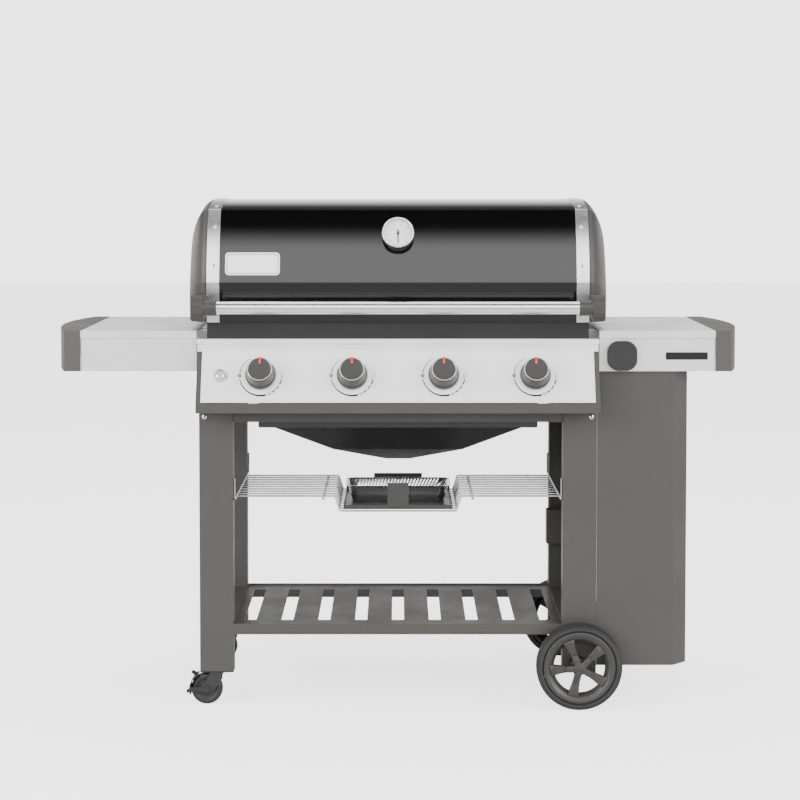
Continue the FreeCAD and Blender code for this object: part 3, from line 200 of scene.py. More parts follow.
class Grain(Enum):
    """The kinds of surface texture, each named for its node group."""

    PEEL = "paint_peel"
    BRUSHED = "brushing"


VALUE = "NodeSocketFloat"
EFFECTS = {name: shared_effect(name, {size: start}, outputs, fill) for name, size, start, outputs, fill in (
    (Grain.PEEL.value, "Scale", 900.0, {"Value": VALUE, "Height": VALUE}, fill_peel),
    (Grain.BRUSHED.value, "Scale", 900.0, {"Value": VALUE, "Height": VALUE}, fill_brushing),
    ("mottle", "Scale", 6.0, {"Mask": VALUE}, fill_mottle),
    ("soft_edges", "Radius", MM, {"Mask": VALUE, "Normal": "NodeSocketVector"}, fill_edges),
)}


@dataclass(frozen=True)
class Finish:
    """One finish of the grill, with its colour, gloss and surface texture."""

    name: str
    colour: Colour
    roughness: float
    metallic: float = 0.0
    grain: Grain = Grain.PEEL
    grain_scale: float = 900.0
    grain_depth: float = 0.03 * MM
    shade: float = 0.7
    patches: float = 5.0
    rough_spread: float = 0.08
    # How much lighter the colour is painted along sharp edges: a painted highlight.
    edge_light: float = 1.5
    edge_radius: float = 0.7 * MM
    coat: float = 0.0
    coat_roughness: float = 0.05
    see_through: float = 0.0

    def material(self) -> bpy.types.Material:
        """Builds the material, or returns it if it's already there.

        Returns:
            The material with its node tree.
        """
        label = f"{self.name}_finish"
        if label in bpy.data.materials:
            return bpy.data.materials[label]
        made = bpy.data.materials.new(label)
        made.use_nodes = True
        tree = Tree(made.node_tree)
        if self.see_through:
            return self.clear(made, tree)
        grain = self.effect(tree, self.grain.value, Scale=self.grain_scale)
        mottle = self.effect(tree, "mottle", Scale=self.patches).outputs["Mask"]
        edges = self.effect(tree, "soft_edges", Radius=self.edge_radius)
        dark = (*(part * self.shade for part in self.colour), 1.0)
        # The colour lightened along sharp edges by the edge mask below is a painted highlight, not wear.
        light = (*(min(1.0, part * self.edge_light) for part in self.colour), 1.0)
        spread = tree.mix(mottle, dark, (*self.colour, 1.0))
        speckled = tree.mix(tree.maths("MULTIPLY", grain.outputs["Value"], 0.25), spread, dark)
        edge_highlighted = tree.mix(edges.outputs["Mask"], speckled, light)
        rough = tree.stretch(mottle, self.roughness + self.rough_spread, self.roughness)
        bump = tree.add("ShaderNodeBump", {
            "Strength": 1.0, "Distance": self.grain_depth, "Height": grain.outputs["Height"],
            "Normal": edges.outputs["Normal"],
        })
        shader = tree.add("ShaderNodeBsdfPrincipled", {
            "Base Color": edge_highlighted, "Roughness": rough, "Metallic": self.metallic, "Normal": bump.outputs[0],
            "Coat Weight": self.coat, "Coat Roughness": self.coat_roughness,
        })
        tree.add("ShaderNodeOutputMaterial", {"Surface": shader.outputs[0]})
        return made

    def clear(self, made: bpy.types.Material, tree: Tree) -> bpy.types.Material:
        """Fills a clear material, with faint wipe marks in its gloss.

        Args:
            made: The new material.
            tree: Its empty tree.

        Returns:
            The material.
        """
        mottle = self.effect(tree, "mottle", Scale=self.patches).outputs["Mask"]
        rough = tree.stretch(mottle, self.roughness + self.rough_spread, self.roughness)
        shader = tree.add("ShaderNodeBsdfPrincipled", {
            "Base Color": (*self.colour, 1.0), "Roughness": rough, "IOR": 1.1,
            "Transmission Weight": self.see_through, "Alpha": 0.35,
        })
        tree.add("ShaderNodeOutputMaterial", {"Surface": shader.outputs[0]})
        return made

    @staticmethod
    def effect(tree: Tree, name: str, **values: float) -> bpy.types.Node:
        """Places a shared effect with its own values.

        Args:
            tree: The material's tree.
            name: The effect's name.
            values: Its inputs.

        Returns:
            The group node.
        """
        node = tree.add("ShaderNodeGroup", {}, node_tree=EFFECTS[name])
        for label, value in values.items():
            node.inputs[label].default_value = value
        return node


CART_GREY = Finish(
    "cart_grey", (0.048, 0.044, 0.040), 0.42, grain_depth=0.02 * MM, shade=0.82, edge_light=1.35)
CAP_GREY = Finish(
    "cap_grey", (0.062, 0.058, 0.054), 0.50, grain_scale=1300.0, grain_depth=0.04 * MM, shade=0.8)
CHEEK_GREY = Finish(
    "cheek_grey", (0.036, 0.034, 0.031), 0.40, grain_scale=700.0, grain_depth=0.05 * MM, shade=0.75)
BLACK_PLASTIC = Finish(
    "black_plastic", (0.012, 0.012, 0.012), 0.42, grain_scale=1500.0, grain_depth=0.02 * MM)
HUB_PLASTIC = Finish("hub_plastic", (0.030, 0.029, 0.027), 0.40, grain_scale=1200.0, grain_depth=0.02 * MM)
KNOB_PLASTIC = Finish("knob_plastic", (0.036, 0.034, 0.032), 0.38, grain_scale=2200.0, grain_depth=0.01 * MM)
RED_PLASTIC = Finish(
    "red_plastic", (0.80, 0.012, 0.018), 0.35, grain_depth=0.005 * MM, shade=0.9, edge_light=1.0)
TYRE_RUBBER = Finish("tyre_rubber", (0.014, 0.014, 0.014), 0.62, grain_scale=1100.0, grain_depth=0.05 * MM)
CASTOR_STEEL = Finish("castor_steel", (0.018, 0.018, 0.018), 0.35, grain_depth=0.02 * MM)
BOX_BLACK = Finish(
    "box_black", (0.011, 0.011, 0.011), 0.36, grain_scale=420.0, grain_depth=0.25 * MM, shade=0.6)
PANEL_STEEL = Finish(
    "panel_steel", (0.96, 0.96, 0.96), 0.30, 0.35, Grain.BRUSHED, 1500.0, 0.008 * MM, 0.95, 3.0, 0.06, 1.05)
TABLE_STEEL = Finish(
    "table_steel", (0.84, 0.84, 0.835), 0.34, 0.5, Grain.PEEL, 500.0, 0.03 * MM, 0.85, 14.0, 0.12, 1.15)
BRIGHT_TRIM = Finish(
    "bright_trim", (0.80, 0.80, 0.80), 0.22, 1.0, Grain.BRUSHED, 1200.0, 0.006 * MM, 0.9, 6.0, 0.06, 1.1)
HANDLE_STEEL = Finish(
    "handle_steel", (0.78, 0.78, 0.78), 0.20, 1.0, Grain.BRUSHED, 1500.0, 0.005 * MM, 0.92, 8.0, 0.05, 1.1)
BURNER_STEEL = Finish(
    "burner_steel", (0.45, 0.42, 0.38), 0.38, 1.0, Grain.BRUSHED, 900.0, 0.01 * MM, 0.6, 20.0, 0.15, 1.1)
BRIGHT_CHROME = Finish(
    "bright_chrome", (0.82, 0.82, 0.83), 0.10, 1.0, grain_depth=0.003 * MM, shade=0.92, edge_light=1.0)
RACK_CHROME = Finish(
    "rack_chrome", (0.62, 0.62, 0.62), 0.22, 1.0, grain_depth=0.006 * MM, shade=0.7, patches=25.0)
VALVE_BRASS = Finish(
    "valve_brass", (0.62, 0.44, 0.20), 0.32, 1.0, grain_depth=0.01 * MM, shade=0.7, patches=30.0)
LID_ENAMEL = Finish(
    "lid_enamel", (0.002, 0.002, 0.002), 0.10, grain_scale=260.0, grain_depth=0.006 * MM, shade=0.8,
    rough_spread=0.03, edge_light=1.6, coat=0.25, coat_roughness=0.06)
TRAY_BLACK = Finish(
    "tray_black", (0.016, 0.016, 0.016), 0.30, grain_scale=500.0, grain_depth=0.05 * MM, patches=9.0)
PAN_DARK = Finish("pan_dark", (0.035, 0.034, 0.033), 0.34, grain_depth=0.03 * MM, patches=14.0)
GRATE_IRON = Finish(
    "grate_iron", (0.022, 0.022, 0.022), 0.36, grain_scale=600.0, grain_depth=0.15 * MM, patches=18.0)
PAN_FOIL = Finish(
    "pan_foil", (0.80, 0.80, 0.80), 0.20, 1.0, grain_scale=240.0, grain_depth=0.35 * MM, shade=0.8)
PLATE_BLACK = Finish("plate_black", (0.010, 0.010, 0.010), 0.20, grain_depth=0.004 * MM)
BADGE_SATIN = Finish(
    "badge_satin", (0.84, 0.84, 0.84), 0.30, 0.6, Grain.BRUSHED, 1800.0, 0.005 * MM, 0.95, 9.0, 0.05, 1.0)
DIAL_WHITE = Finish(
    "dial_white", (0.86, 0.86, 0.85), 0.45, grain_depth=0.004 * MM, shade=0.96, edge_light=1.0)
INK_BLACK = Finish("ink_black", (0.015, 0.015, 0.015), 0.50, grain_depth=0.004 * MM)
INK_GREY = Finish("ink_grey", (0.25, 0.25, 0.25), 0.50, grain_depth=0.004 * MM)
INK_RED = Finish("ink_red", (0.75, 0.05, 0.07), 0.50, grain_depth=0.004 * MM)
GAUGE_GLASS = Finish(
    "gauge_glass", (0.98, 0.99, 0.99), 0.02, grain_depth=0.002 * MM, shade=0.99, rough_spread=0.01,
    edge_light=1.0, see_through=1.0)

SLOT_FINISHES = {
    "cart_paint": CART_GREY, "black_plastic": BLACK_PLASTIC, "castor_steel": CASTOR_STEEL,
    "tyre_rubber": TYRE_RUBBER, "bright_screw": BRIGHT_CHROME, "cast_cookbox": BOX_BLACK,
    "burner_steel": BURNER_STEEL, "grate_iron": GRATE_IRON, "chrome_wire": RACK_CHROME,
    "panel_steel": PANEL_STEEL, "table_steel": TABLE_STEEL, "cap_plastic": CAP_GREY,
    "valve_brass": VALVE_BRASS, "bezel_chrome": BRIGHT_CHROME, "knob_plastic": KNOB_PLASTIC,
    "badge_metal": BADGE_SATIN, "plate_black": PLATE_BLACK, "lid_enamel": LID_ENAMEL,
    "trim_steel": BRIGHT_TRIM, "cheek_cast": CHEEK_GREY, "handle_steel": HANDLE_STEEL,
    "dial_white": DIAL_WHITE, "needle_black": INK_BLACK, "gauge_glass": GAUGE_GLASS,
    "pan_dark": PAN_DARK, "foil": PAN_FOIL, "tray_black": TRAY_BLACK,
}


class Maker:
    """Builds one mesh in a local frame and turns it into a piece of the grill."""

    def __init__(self, name: str, place: Matrix | None = None) -> None:
        """Starts an empty mesh.

        Args:
            name: The piece's name.
            place: The local frame, or None for the grill's own.
        """
        self.name = name
        self.place = place or Matrix.Identity(4)
        self.mesh = bmesh.new()

    def bridge(self, rings: Sequence[list[bmesh.types.BMVert]], closed: bool = True) -> None:
        """Joins each ring of corners to the next with four-sided faces.

        Args:
            rings: The rings, each with as many corners.
            closed: Whether each ring runs all the way round.
        """
        for first, second in zip(rings, rings[1:]):
            for step in range(len(first) if closed else len(first) - 1):
                after = (step + 1) % len(first)
                self.mesh.faces.new((first[step], first[after], second[after], second[step]))

    def lathe(self, profile: Outline, segments: int = 96, ribs: int = 0,
              rib_depth: float = 0.0, rib_span: tuple[float, float] = (0.0, 0.0)) -> "Maker":
        """Turns a closed outline round the local Z axis.

        Args:
            profile: Corners as (radius, height); the last joins the first.
            segments: How many steps one turn has.
            ribs: How many ribs run down the side.
            rib_depth: How far the ribs go in.
            rib_span: The heights between which they run.

        Returns:
            The maker itself.
        """
        rings = []
        for radius, height in profile:
            ring = []
            for step in range(segments):
                angle = math.tau * step / segments
                inside = rib_span[0] < height < rib_span[1]
                cut = rib_depth * (0.5 + 0.5 * math.cos(ribs * angle)) if ribs and inside else 0.0
                reach = max(radius - cut, 0.0)
                ring.append(self.mesh.verts.new((reach * math.cos(angle), reach * math.sin(angle), height)))
            rings.append(ring)
        self.bridge(rings + rings[:1])
        bmesh.ops.remove_doubles(self.mesh, verts=self.mesh.verts, dist=1e-7)
        return self

    def prism(self, outline: Outline, low: float, high: float, edge: float = 0.0) -> "Maker":
        """Raises a flat outline into a plate with softened top edges.

        Args:
            outline: Corners as (x, y), anticlockwise.
            low: Where the plate starts.
            high: Where it ends.
            edge: How wide its softened edge is.

        Returns:
            The maker itself.
        """
        levels = [(low, 0.0), (high, 0.0)]
        if edge:
            levels[1:] = [(high - edge, 0.0), (high - 0.3 * edge, 0.3 * edge), (high, edge)]
        rings = []
        for level, drawn in levels:
            rings.append([self.mesh.verts.new((*point, level)) for point in inset(outline, drawn)])
        self.bridge(rings)
        self.mesh.faces.new(reversed(rings[0]))
        self.mesh.faces.new(rings[-1])
        return self

    def band(self, outer: Outline, inner: Outline, low: float,
             high: float, closed: bool = True) -> "Maker":
        """Fills the strip between two outlines and gives it a thickness.

        Args:
            outer: The outer line's points.
            inner: The inner line's points, as many.
            low: Where the strip starts.
            high: Where it ends.
            closed: Whether the two lines run all the way round.

        Returns:
            The maker itself.
        """
        lines = [[self.mesh.verts.new((*point, level)) for point in line]
                 for line, level in ((outer, low), (outer, high), (inner, high), (inner, low))]
        self.bridge(lines + lines[:1], closed)
        if not closed:
            self.mesh.faces.new([line[0] for line in lines])
            self.mesh.faces.new([line[-1] for line in reversed(lines)])
        return self

    def piece(
        self, body: str, slot: str, finish: Finish, *replaced: str, smooth: float = 40.0
    ) -> bpy.types.Object:
        """Closes the mesh, dresses it and seats it on its body.

        Args:
            body: The body that it rides on.
            slot: The record's material slot; not used.
            finish: Its finish.
            replaced: The CAD nodes that it stands for.
            smooth: Edges sharper than this, in degrees, stay crisp.

        Returns:
            The new piece.
        """
        bmesh.ops.recalc_face_normals(self.mesh, faces=self.mesh.faces)
        data = bpy.data.meshes.new(self.name)
        self.mesh.transform(self.place)
        self.mesh.to_mesh(data)
        self.mesh.free()
        for polygon in data.polygons:
            polygon.use_smooth = True
        data.set_sharp_from_angle(angle=math.radians(smooth))
        data.materials.append(finish.material())
        made = bpy.data.objects.new(self.name, data)
        bpy.context.scene.collection.objects.link(made)
        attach(made, body)
        if replaced:
            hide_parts(*replaced)
        LOG.info("%s rides on %s with the finish %s", self.name, body, finish.name)
        return made


def in_mm(corners: Outline) -> Points:
    """The same corners, given in millimetres, in metres."""
    return [(across * MM, up * MM) for across, up in corners]


def inset(outline: Outline, depth: float) -> Points:
    """Draws an anticlockwise outline in by a small depth.

    Args:
        outline: Its corners.
        depth: How far in.

    Returns:
        The new corners, in the same order.
    """
    drawn = []
    for index, point in enumerate(outline):
        before = Vector(outline[index - 1])
        here = Vector(point)
        after = Vector(outline[(index + 1) % len(outline)])
        way = ((here - before).normalized() + (after - here).normalized()).normalized()
        drawn.append((here.x - way.y * depth, here.y + way.x * depth))
    return drawn


def soften(corners: Outline, radius: float, steps: int = 5) -> Points:
    """Rounds every corner of a closed outline.

    Args:
        corners: The sharp corners.
        radius: The rounding's reach along each side.
        steps: How many points each rounded corner has.

    Returns:
        The rounded outline.
    """
    rounded = []
    for index, corner in enumerate(corners):
        here = Vector(corner)
        before = Vector(corners[index - 1]) - here
        after = Vector(corners[(index + 1) % len(corners)]) - here
        reach = min(radius, before.length * 0.45, after.length * 0.45)
        start = here + before.normalized() * reach
        end = here + after.normalized() * reach
        for step in range(steps):
            share = step / (steps - 1)
            point = start * (1 - share) ** 2 + here * 2 * share * (1 - share) + end * share ** 2
            rounded.append((point.x, point.y))
    return rounded


def arc(radius: float, start: float, end: float, steps: int = 48) -> Points:
    """Points along an arc about the origin, with its angles in degrees."""
    turns = [math.radians(start + (end - start) * step / (steps - 1)) for step in range(steps)]
    return [(radius * math.cos(turn), radius * math.sin(turn)) for turn in turns]


def rectangle(half_x: float, half_y: float) -> Points:
    """The four corners of a rectangle about the origin, anticlockwise."""
    return [(-half_x, -half_y), (half_x, -half_y), (half_x, half_y), (-half_x, half_y)]


def seat(point: Sequence[float], out: Sequence[float]) -> Matrix:
    """A local frame on a surface: X to the right, Y up along it and Z out of it.

    Args:
        point: Where its origin is.
        out: The surface's outward direction, not straight up.

    Returns:
        The frame as a matrix.
    """
    away = Vector(out).normalized()
    right = Vector((0, 0, 1)).cross(away).normalized()
    up = away.cross(right)
    turn = Matrix((right, up, away)).transposed().to_4x4()
    return Matrix.Translation(Vector(point)) @ turn


def joint(name: str) -> dict:
    """The frame's joint of that name."""
    return next(item for item in frame["joints"] if item["name"] == name)


def joint_seat(name: str) -> Matrix:
    """A local frame at a joint, with Z along its axis."""
    found = joint(name)
    return seat(found["pos_m"], found["axis"])


KNOBS = ("far_left", "middle_left", "middle_right", "far_right")


@dataclass
class ControlKnob:
    """One burner knob: its ribbed grip, bright ring and red pointer."""

    name: str
    skirt: float = 36.0 * MM
    waist: float = 33.2 * MM
    face: float = 29.5 * MM
    low: float = 5.0 * MM
    high: float = 47.6 * MM
    dish: float = 1.2 * MM
    ring: float = 1.5 * MM
    ribs: int = 56

    def build(self) -> None:
        """Makes the three pieces of the knob on its turn axis."""
        place = joint_seat(f"{self.name}_knob_turn")
        body = f"{self.name}_knob"
        corners = [
            (0.0, self.low), (self.skirt, self.low), (self.skirt, self.low + 6 * MM),
            (self.waist, self.low + 10 * MM),
            (self.face + 0.8 * MM, self.high - 6 * MM), (self.face - 0.3 * MM, self.high - 1 * MM),
            (self.face - self.ring - 1.2 * MM, self.high - 0.6 * MM),
            (self.face - self.ring - 3.2 * MM, self.high - self.dish - 0.6 * MM),
            (0.0, self.high - self.dish),
        ]
        outline = [corners[0]] + soften(corners, 1.1 * MM)[5:-5] + [corners[-1]]
        side = self.ribbed_side(outline)
        grip = Maker(f"{self.name}_knob_grip", place)
        grip.lathe(side, 224, self.ribs, 0.45 * MM, (self.low + 10.5 * MM, self.high - 7 * MM))
        grip.piece(body, "knob_plastic", KNOB_PLASTIC, f"{self.name}_knob", smooth=50.0)
        ring = Maker(f"{self.name}_knob_ring", place)
        inner = self.face - self.ring - 1.0 * MM
        rim = self.face - 0.9 * MM
        base = self.high - 1.2 * MM
        crest = self.high + 0.3 * MM
        ring.lathe(soften([(inner, base), (rim, base), (rim, crest), (inner, crest)], 0.5 * MM), 128)
        ring.piece(body, "bezel_chrome", BRIGHT_CHROME)
        pointer = Maker(f"{self.name}_knob_pointer", place)
        half, near, far = 2.7 * MM, 13 * MM, self.face + 0.3 * MM
        bar = [(-half, near), (half, near), (half, far), (-half, far)]
        pointer.prism(soften(bar, 2.0 * MM), self.high - 9 * MM, self.high + 0.4 * MM, 0.35 * MM)
        pointer.piece(body, "knob_plastic", RED_PLASTIC)

    def ribbed_side(self, outline: Points) -> Points:
        """Adds heights along the tapered side, so that the ribs fade in and out there.

        Args:
            outline: The knob's outline.

        Returns:
            The outline with more points on its side.
        """
        longest = max(range(len(outline) - 1), key=lambda item: abs(outline[item + 1][1] - outline[item][1]))
        first, second = Vector(outline[longest]), Vector(outline[longest + 1])
        added = [first.lerp(second, share) for share in (0.03, 0.08, 0.5, 0.92, 0.97)]
        return outline[:longest + 1] + [(point.x, point.y) for point in added] + outline[longest + 1:]


@dataclass
class PrintedDials:
    """The marks printed round each knob: a swelling arc, dashes and three generic symbols."""

    radius: float = 49.5 * MM
    thick: float = 0.3 * MM

    def build(self) -> None:
        """Prints the marks round the four knobs."""
        for name in KNOBS:
            place = joint_seat(f"{name}_knob_turn")
            marks = Maker(f"{name}_dial_marks", place)
            self.stroke(marks, 188.0, 286.0, 0.9 * MM, 2.4 * MM)
            for start, end in ((205.0, 203.0), (254.0, 268.0), (272.0, 284.0)):
                self.stroke(marks, start, end, 1.6 * MM, 2.4 * MM)
            for start, end in ((302.0, 314.0), (318.0, 330.0), (334.0, 350.0)):
                self.stroke(marks, start, end, 1.7 * MM, 1.2 * MM)
            self.stroke(marks, 172.0, 118.0, 1.1 * MM, 0.5 * MM)
            self.symbol(marks, 180.0, 4.2 * MM, 1.6 * MM)
            self.symbol(marks, 0.0, 4.2 * MM, 3.3 * MM)
            self.symbol(marks, 294.0, 3.6 * MM, 2.2 * MM)
            marks.piece("root", "plate_black", INK_BLACK)

    def stroke(self, marks: Maker, start: float, end: float, first: float, last: float) -> None:
        """Draws one arc that swells from one width to another.

        Args:
            marks: The mesh to add to.
            start: Its first angle, in degrees.
            end: Its last angle.
            first: Half its width at the start.
            last: Half its width at the end.
        """
        centre = arc(1.0, start, end, 28)
        outer, inner = [], []
        for step, (across, up) in enumerate(centre):
            half = first + (last - first) * step / (len(centre) - 1)
            outer.append((across * (self.radius + half), up * (self.radius + half)))
            inner.append((across * (self.radius - half), up * (self.radius - half)))
        marks.band(outer, inner, 0.02 * MM, self.thick, closed=False)

    def symbol(self, marks: Maker, angle: float, outside: float, inside: float) -> None:
        """Draws a ring on the dial's line.

        Args:
            marks: The mesh to add to.
            angle: Where it is, in degrees.
            outside: The ring's outer radius.
            inside: Its inner radius.
        """
        turn = math.radians(angle)
        middle = (self.radius * math.cos(turn), self.radius * math.sin(turn))
        outer = [(middle[0] + across, middle[1] + up) for across, up in arc(outside, 0.0, 350.0, 36)]
        inner = [(middle[0] + across, middle[1] + up) for across, up in arc(inside, 0.0, 350.0, 36)]
        marks.band(outer, inner, 0.02 * MM, self.thick * 1.2)


@dataclass
class Thermometer:
    """The lid's gauge: its case, dial, glass, ticks and numbers."""

    dial: float = 24.82 * MM
    ink: float = 0.12 * MM
    outer: float = 31.0 * MM
    steps: int = 15
    first: float = 225.0
    sweep: float = 270.0

    def build(self) -> None:
        """Turns the case, the dial and the glass, and prints ticks and plain numbers."""
        found = joint("needle_turn")
        place = seat(found["pos_m"], [-part for part in found["axis"]])
        self.case(place)
        grey = Maker("thermometer_grey_ticks", place)
        red = Maker("thermometer_red_ticks", place)
        for step in range(self.steps):
            angle = self.first - self.sweep * step / (self.steps - 1)
            long = step % 2 == 0
            self.tick(grey, angle, self.outer - (3.0 if long else 1.8) * MM, self.outer, 0.45 * MM)
            self.tick(red, angle, 14.0 * MM, (17.5 if long else 16.2) * MM, 0.5 * MM)
        grey.piece("lid", "needle_black", INK_GREY)
        red.piece("lid", "needle_black", INK_RED)
        for step in range(0, self.steps, 2):
            angle = self.first - self.sweep * step / (self.steps - 1)
            number = 50 * (step // 2 + 1)
            for kind, text, reach, size, ink in (
                ("number", str(number), 24.0 * MM, 4.6 * MM, INK_GREY),
                ("inner", str(number // 10), 19.6 * MM, 3.4 * MM, INK_RED),
            ):
                self.number(f"thermometer_{kind}_{number}", text, angle, reach, size, place, ink)

    def case(self, place: Matrix) -> None:
        """Makes the bright case, the white dial and the domed glass.

        Args:
            place: The gauge's frame.
        """
        body = Maker("gauge_case", place)
        shell = [
            (16.2, 0.6), (16.2, 20.4), (30.0, 20.6), (37.2, 21.2), (38.2, 23.0), (38.2, 33.4), (36.6, 35.6),
            (34.6, 35.6), (33.6, 34.2), (33.6, 24.4),
        ]
        body.lathe(soften(in_mm(shell), 0.9 * MM), 128)
        body.piece("lid", "bezel_chrome", BRIGHT_CHROME, "thermometer_case")
        plate = Maker("gauge_dial", place)
        edge, back = 33.2 * MM, 24.5 * MM
        plate.lathe([(0.0, back), (edge, back), (edge, self.dial), (0.0, self.dial)], 96)
        plate.piece("lid", "dial_white", DIAL_WHITE, "thermometer_dial")
        glass = Maker("gauge_glass", place)
        dome = [
            (0.0, 33.0), (32.8, 32.2), (33.3, 32.7), (33.3, 33.6), (24.0, 34.6), (12.0, 35.0), (0.0, 35.1),
        ]
        glass.lathe(in_mm(dome), 96)
        glass.piece("lid", "gauge_glass", GAUGE_GLASS, "thermometer_glass")

    def tick(self, marks: Maker, angle: float, near: float, far: float, half: float) -> None:
        """Draws one short line that points to the middle.

        Args:
            marks: The mesh to add to.
            angle: Its direction, in degrees.
            near: Where it starts.
            far: Where it ends.
            half: Half its width.
        """
        turn = Matrix.Rotation(math.radians(angle), 2)
        bar = ((near, -half), (far, -half), (far, half), (near, half))
        corners = [turn @ Vector(corner) for corner in bar]
        marks.prism([(corner.x, corner.y) for corner in corners], self.dial, self.dial + self.ink)

    def number(self, name: str, text: str, angle: float, reach: float, size: float, place: Matrix,
               finish: Finish) -> None:
        """Prints one number upright on the dial.

        Args:
            name: The piece's name.
            text: The digits.
            angle: Where it is, in degrees.
            reach: How far from the middle.
            size: How tall it is.
            place: The dial's frame.
            finish: The ink.
        """
        letters = bpy.data.curves.new(name, "FONT")
        letters.body = text
        letters.size = size
        letters.extrude = self.ink / 2
        letters.align_x = "CENTER"
        letters.align_y = "CENTER"
        holder = bpy.data.objects.new(name, letters)
        made = bpy.data.meshes.new_from_object(holder)
        bpy.data.objects.remove(holder)
        turn = math.radians(angle)
        shift = Matrix.Translation((reach * math.cos(turn), reach * math.sin(turn), self.dial + self.ink / 2))
        marks = Maker(name, place @ shift)
        marks.mesh.from_mesh(made)
        marks.piece("lid", "needle_black", finish)


@dataclass
class BigWheel:
    """One transport wheel: a grooved tyre, a dished rim with five arms and a star cap."""

    side: str
    away: float
    radius: float = 101.6 * MM
    width: float = 50.0 * MM
    seat_radius: float = 86.0 * MM
    arms: int = 5
    first_arm: float = 41.0

    def build(self) -> None:
        """Makes the tyre, the rim and the cap on the wheel's axle."""
        found = joint(f"{self.side}_wheel_roll")
        place = seat(found["pos_m"], (0.0, self.away, 0.0))
        middle = self.width / 2
        self.tyre(place, middle)
        self.rim(place, middle)
        self.cap(place, middle)

    def tyre(self, place: Matrix, middle: float) -> None:
        """Turns the tyre, with three grooves round its tread.

        Args:
            place: The wheel's frame.
            middle: Half its width.
        """
        side = middle - 1 * MM
        tread = self.radius - 0.4 * MM
        bead, wall = self.seat_radius + 3 * MM, self.seat_radius + 8 * MM
        seat_edge, shoulder = middle - 6 * MM, middle - 9 * MM
        corners = [(self.seat_radius, -seat_edge), (bead, -side), (wall, -side), (tread, -shoulder)]
        for groove in (-9.0, 0.0, 9.0):
            for reach, across in ((0.0, -1.6), (2.2, -0.9), (2.2, 0.9), (0.0, 1.6)):
                corners.append((self.radius - reach * MM, (groove + across) * MM))
        corners += [(tread, shoulder), (wall, side), (bead, side), (self.seat_radius, seat_edge)]
        tyre = Maker(f"{self.side}_tyre", place)
        tyre.lathe(soften(corners, 2.0 * MM, 4), 144)
        tyre.piece(f"{self.side}_wheel", "tyre_rubber", TYRE_RUBBER, f"{self.side}_wheel_tyre", smooth=50.0)

    def rim(self, place: Matrix, middle: float) -> None:
        """Makes the dished rim, its arms and the boss on the axle.

        Args:
            place: The wheel's frame.
            middle: Half its width.
        """
        rim = Maker(f"{self.side}_rim", place)
        outside = self.seat_radius - 0.3 * MM
        face = (
            (0.0, 5.0), (3.0, 3.5), (9.0, 4.0), (17.0, 8.0), (24.0, 16.0), (26.0, 20.0), (22.0, 21.0),
            (12.0, 13.0), (8.0, 11.0),
        )
        dish = [(outside, -middle + 5 * MM)]
        dish += [(outside - inward * MM, middle - deep * MM) for inward, deep in face]
        dish.append((outside - 7 * MM, -middle + 6 * MM))
        rim.lathe(soften(dish, 1.8 * MM, 4), 120)
        back, front = -middle + 2 * MM, middle - 15 * MM
        boss = [(0.0, back), (14 * MM, back), (20 * MM, back + 4 * MM), (20 * MM, front), (0.0, front)]
        rim.lathe([boss[0]] + soften(boss, 1.5 * MM, 4)[4:-4] + [boss[-1]], 72)
        for step in range(self.arms):
            turn = Matrix.Rotation(math.radians(self.first_arm + step * 360 / self.arms), 4, "Z")
            self.arm(rim, turn, middle)
        rim.piece(f"{self.side}_wheel", "black_plastic", HUB_PLASTIC, f"{self.side}_wheel_hub")

    def arm(self, rim: Maker, turn: Matrix, middle: float) -> None:
        """Adds one flared arm that dips from the rim to the boss.

        Args:
            rim: The mesh to add to.
            turn: The arm's direction.
            middle: Half the wheel's width.
        """
        stations = (
            (14.0, 8.5, -7.0), (30.0, 8.5, -6.0), (46.0, 10.0, -6.0), (58.0, 12.5, -5.0), (66.0, 14.0, -4.5),
            (69.0, 13.0, -5.5),
        )
        loops = []
        for reach, half, top in stations:
            section = [
                (-half, top - 9.0), (-half + 0.8, top - 1.2), (-half + 2.2, top), (half - 2.2, top),
                (half - 0.8, top - 1.2), (half, top - 9.0),
            ]
            corners = [Vector((reach * MM, across, middle + rise)) for across, rise in in_mm(section)]
            loops.append([rim.mesh.verts.new(turn @ corner) for corner in corners])
        rim.bridge(loops)
        rim.mesh.faces.new(loops[0])
        rim.mesh.faces.new(reversed(loops[-1]))

    def cap(self, place: Matrix, middle: float) -> None:
        """Makes the star-shaped cap in the middle, with its round button.

        Args:
            place: The wheel's frame.
            middle: Half its width.
        """
        outline = []
        for step in range(self.arms):
            notch, pitch = 13.0 * MM, math.tau / self.arms
            ahead = math.radians(self.first_arm) + step * pitch
            between = ahead - pitch / 2
            outline.append((notch * math.cos(between), notch * math.sin(between)))
            for side in (-1, 1):
                across = Vector((-math.sin(ahead), math.cos(ahead))) * side * 7.2 * MM
                tip = Vector((math.cos(ahead), math.sin(ahead))) * 33.0 * MM + across
                outline.append((tip.x, tip.y))
        star = Maker(f"{self.side}_wheel_cap", place)
        star.prism(soften(outline, 2.5 * MM, 4), middle - 15 * MM, middle - 1.0 * MM, 1.2 * MM)
        edge, foot = 6.5 * MM, middle - 2 * MM
        button = [(0.0, foot), (edge, foot), (edge, middle - 0.4 * MM), (0.0, middle - 0.1 * MM)]
        star.lathe([button[0]] + soften(button, 0.8 * MM, 4)[4:-4] + [button[-1]], 48)
        star.piece(f"{self.side}_wheel", "black_plastic", HUB_PLASTIC)


